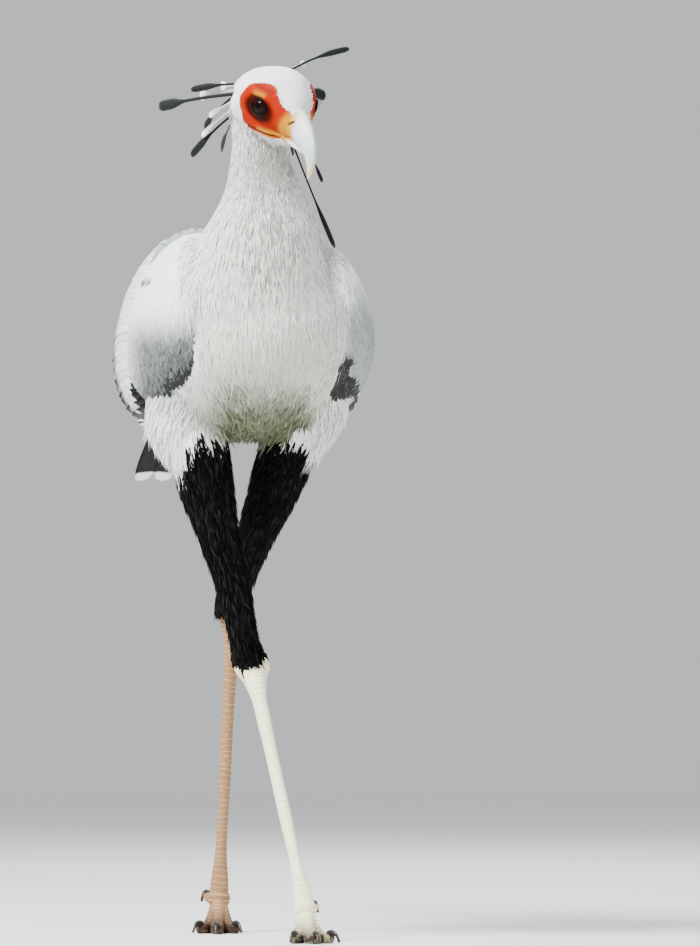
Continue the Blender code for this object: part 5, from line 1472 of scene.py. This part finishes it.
# Root in the head's frame, tip in the bird's frame, length of the paddle, its half width
CREST = (
    ((-0.043, -0.029, -0.006), (-0.0995, -0.085, 0.9120), 0.034, 0.0062),
    ((-0.042, -0.027, 0.006), (-0.0640, -0.100, 0.9300), 0.040, 0.0038),
    ((-0.038, -0.027, -0.018), (-0.0640, -0.080, 0.8580), 0.040, 0.0046),
    ((-0.034, 0.018, 0.028), (0.1095, -0.090, 0.9755), 0.045, 0.0034),
    ((-0.043, 0.024, 0.006), (0.0835, -0.060, 0.9240), 0.024, 0.0060),
    ((-0.042, 0.026, -0.012), (0.0800, -0.062, 0.8300), 0.022, 0.0026),
    ((-0.048, 0.014, -0.012), (0.0935, -0.104, 0.7570), 0.060, 0.0026),
    ((-0.050, -0.008, 0.012), (-0.0100, 0.010, 0.9270), 0.034, 0.0062),
    ((-0.051, 0.004, 0.004), (0.0300, 0.020, 0.8920), 0.036, 0.0062),
    ((-0.050, -0.012, -0.004), (-0.0320, 0.012, 0.8670), 0.036, 0.0062),
    ((-0.050, 0.010, -0.010), (0.0120, 0.022, 0.8320), 0.040, 0.0060),
    ((-0.048, -0.012, -0.014), (-0.0200, -0.010, 0.8120), 0.036, 0.0058),
    ((-0.052, -0.004, -0.004), (-0.0080, 0.022, 0.8900), 0.040, 0.0060),
    ((-0.050, 0.014, 0.002), (0.0480, 0.004, 0.8620), 0.034, 0.0056),
    ((-0.050, 0.002, -0.016), (-0.0060, -0.004, 0.8050), 0.038, 0.0056),
    ((-0.046, -0.020, 0.002), (-0.0500, -0.020, 0.8900), 0.030, 0.0056),
    ((-0.046, 0.020, -0.004), (0.0620, -0.020, 0.8900), 0.030, 0.0054),
    ((-0.050, 0.006, 0.012), (0.0320, -0.004, 0.9300), 0.030, 0.0054),
)
# Short white feathers with curled ends round the roots of the quills
WISPS = (
    ((-0.043, -0.030, 0.004), (-0.0310, -0.098, 0.9335), 0.014, 0.0052),
    ((-0.043, -0.030, -0.002), (-0.0540, -0.092, 0.9225), 0.014, 0.0052),
    ((-0.043, -0.032, -0.012), (-0.0440, -0.096, 0.9010), 0.022, 0.0036),
    ((-0.041, -0.032, -0.018), (-0.0520, -0.094, 0.8790), 0.026, 0.0032),
    ((-0.036, 0.018, 0.026), (0.0610, -0.104, 0.9580), 0.010, 0.0044),
    ((-0.050, -0.012, 0.010), (-0.0130, -0.060, 0.9330), 0.020, 0.0046),
    ((-0.051, 0.002, 0.008), (0.0130, -0.052, 0.9260), 0.022, 0.0048),
    ((-0.050, 0.014, 0.006), (0.0420, -0.062, 0.9260), 0.022, 0.0046),
    ((-0.051, -0.008, -0.006), (-0.0130, -0.048, 0.8900), 0.022, 0.0046),
    ((-0.051, 0.008, -0.008), (0.0260, -0.044, 0.8820), 0.024, 0.0046),
    ((-0.048, 0.020, -0.010), (0.0520, -0.066, 0.8820), 0.022, 0.0042),
)
crest_slate = feather_finish("crest_slate", (0.007, 0.008, 0.0075), (0.016, 0.019, 0.018),
                             (0.06, 0.065, 0.065), barbs=260.0, tip_from=0.97, rough=0.5, gloss=0.08,
                             edge=(0.12, 0.13, 0.13))
# Sections crowd towards the tip
blade_shares = 0.5 + 0.5 * np.sin(np.linspace(0, math.pi / 2, 26))
QUILL_STATIONS = np.concatenate([np.linspace(0, 0.5, 9)[:-1], blade_shares])


def quills(name, rows, material):
    """Feathers of a bare stem and a paddle with a rounded end. The middle line runs straight from root
    to tip, bowed out by a twentieth of its length, and starts a tenth of it inside the head."""
    start = from_head([row[0] for row in rows])
    inner = from_head([np.array(row[0]) * 0.72 for row in rows])
    tip = np.array([row[1] for row in rows])
    blade = np.array([row[2] for row in rows])[:, None]
    wide = np.array([row[3] for row in rows])[:, None]
    reach = np.linalg.norm(tip - start, axis=1)[:, None]
    way = (tip - start) / reach
    out = unit(start - inner)
    bow = (out - way * np.sum(out * way, 1, keepdims=True)) * reach * 0.05
    s = QUILL_STATIONS[None] * 1.10 - 0.10
    line = start[:, None] + (tip - start)[:, None] * s[..., None]
    line = line + bow[:, None] * np.sin(np.clip(s, 0, 1) * math.pi)[..., None]
    across = unit(np.array([0.0, 0.0, 1.0]) - way * way[:, 2:])
    normal = np.cross(way, across)
    part = np.clip((s - 1 + blade / reach) / (blade / reach), 0, 1)
    blunt = np.sqrt(np.clip(1 - np.clip((part - 0.80) / 0.20, 0, 1) ** 2, 0, 1))
    stem = 0.0003 + 0.23 * wide
    halves = (stem + (wide - stem) * smooth_step(0.0, 0.55, part)) * blunt + 0.0001
    shape = line.shape
    feathers(name, line, np.broadcast_to(across[:, None], shape), np.broadcast_to(normal[:, None], shape),
             halves, material, shares=QUILL_STATIONS, camber=0.10, thick=0.0006)


quills("crest_quills", CREST, crest_slate)
quills("crest_wisps", WISPS, white_plume)

# Floor, light and camera
# A plain pale floor, a soft room and large soft lamps. The camera looks level from in front, far off,
# as the photograph was taken with a long lens.

floor_points = np.array([(-6, -6, 0), (6, -6, 0), (6, 6, 0), (-6, 6, 0)], float) - BIRD_PLACE * [1, 1, 0]
floor_paint = mottled("floor_paint", 0.9, 1.5, (0.74, 0.74, 0.73), (0.77, 0.77, 0.76))
floor = new_piece("floor", (floor_points, np.array([(0, 1, 2), (0, 2, 3)])), [floor_paint])
world = bpy.data.worlds.new("room")
world.use_nodes = True
world.node_tree.nodes["Background"].inputs["Color"].default_value = (0.90, 0.93, 0.96, 1.0)
world.node_tree.nodes["Background"].inputs["Strength"].default_value = 0.72
bpy.context.scene.world = world
# Square lamps, main, fill and rear: place, side and watts. They look at the trunk
LAMPS = (
    ((-1.7, -1.7, 3.1), 1.4, 400.0),
    ((2.4, -1.8, 1.8), 2.0, 40.0),
    ((0.6, 2.4, 2.4), 1.6, 80.0),
)
LIT_PLACE = np.array([0.0, -0.1, 0.6])
for place, size, power in LAMPS:
    lamp = bpy.data.lights.new("soft_lamp", "AREA")
    lamp.size = size
    lamp.energy = power
    holder = bpy.data.objects.new("soft_lamp", lamp)
    bpy.context.scene.collection.objects.link(holder)
    holder.location = place
    aim = LIT_PLACE - np.array(place)
    tilt = math.atan2(math.hypot(aim[0], aim[1]), -aim[2])
    holder.rotation_euler = (tilt, 0.0, math.atan2(aim[0], -aim[1]) + math.pi)

# The photograph is 946 pixels tall, and the ground under the right foot is at row 938
PHOTO_ROWS = 946
GROUND_ROW = 938
METRES_PER_PIXEL = 0.0011
SENSOR = 36.0
CAMERA_GAP = 14.0
CAMERA_HEIGHT = 0.50
CAMERA_ASIDE = 0.11
lens = bpy.data.cameras.new("camera")
lens.sensor_fit = "VERTICAL"
lens.sensor_height = SENSOR
lens.lens = SENSOR * CAMERA_GAP / (PHOTO_ROWS * METRES_PER_PIXEL)
raised = (GROUND_ROW - PHOTO_ROWS / 2) * METRES_PER_PIXEL
lens.shift_y = (raised - CAMERA_HEIGHT) / (PHOTO_ROWS * METRES_PER_PIXEL)
lens.clip_end = 60.0
camera = bpy.data.objects.new("camera", lens)
bpy.context.scene.collection.objects.link(camera)
camera.location = (BIRD_PLACE[0] + CAMERA_ASIDE, BIRD_PLACE[1] - CAMERA_GAP, CAMERA_HEIGHT)
camera.rotation_euler = (math.radians(90.0), 0.0, 0.0)
bpy.context.scene.camera = camera
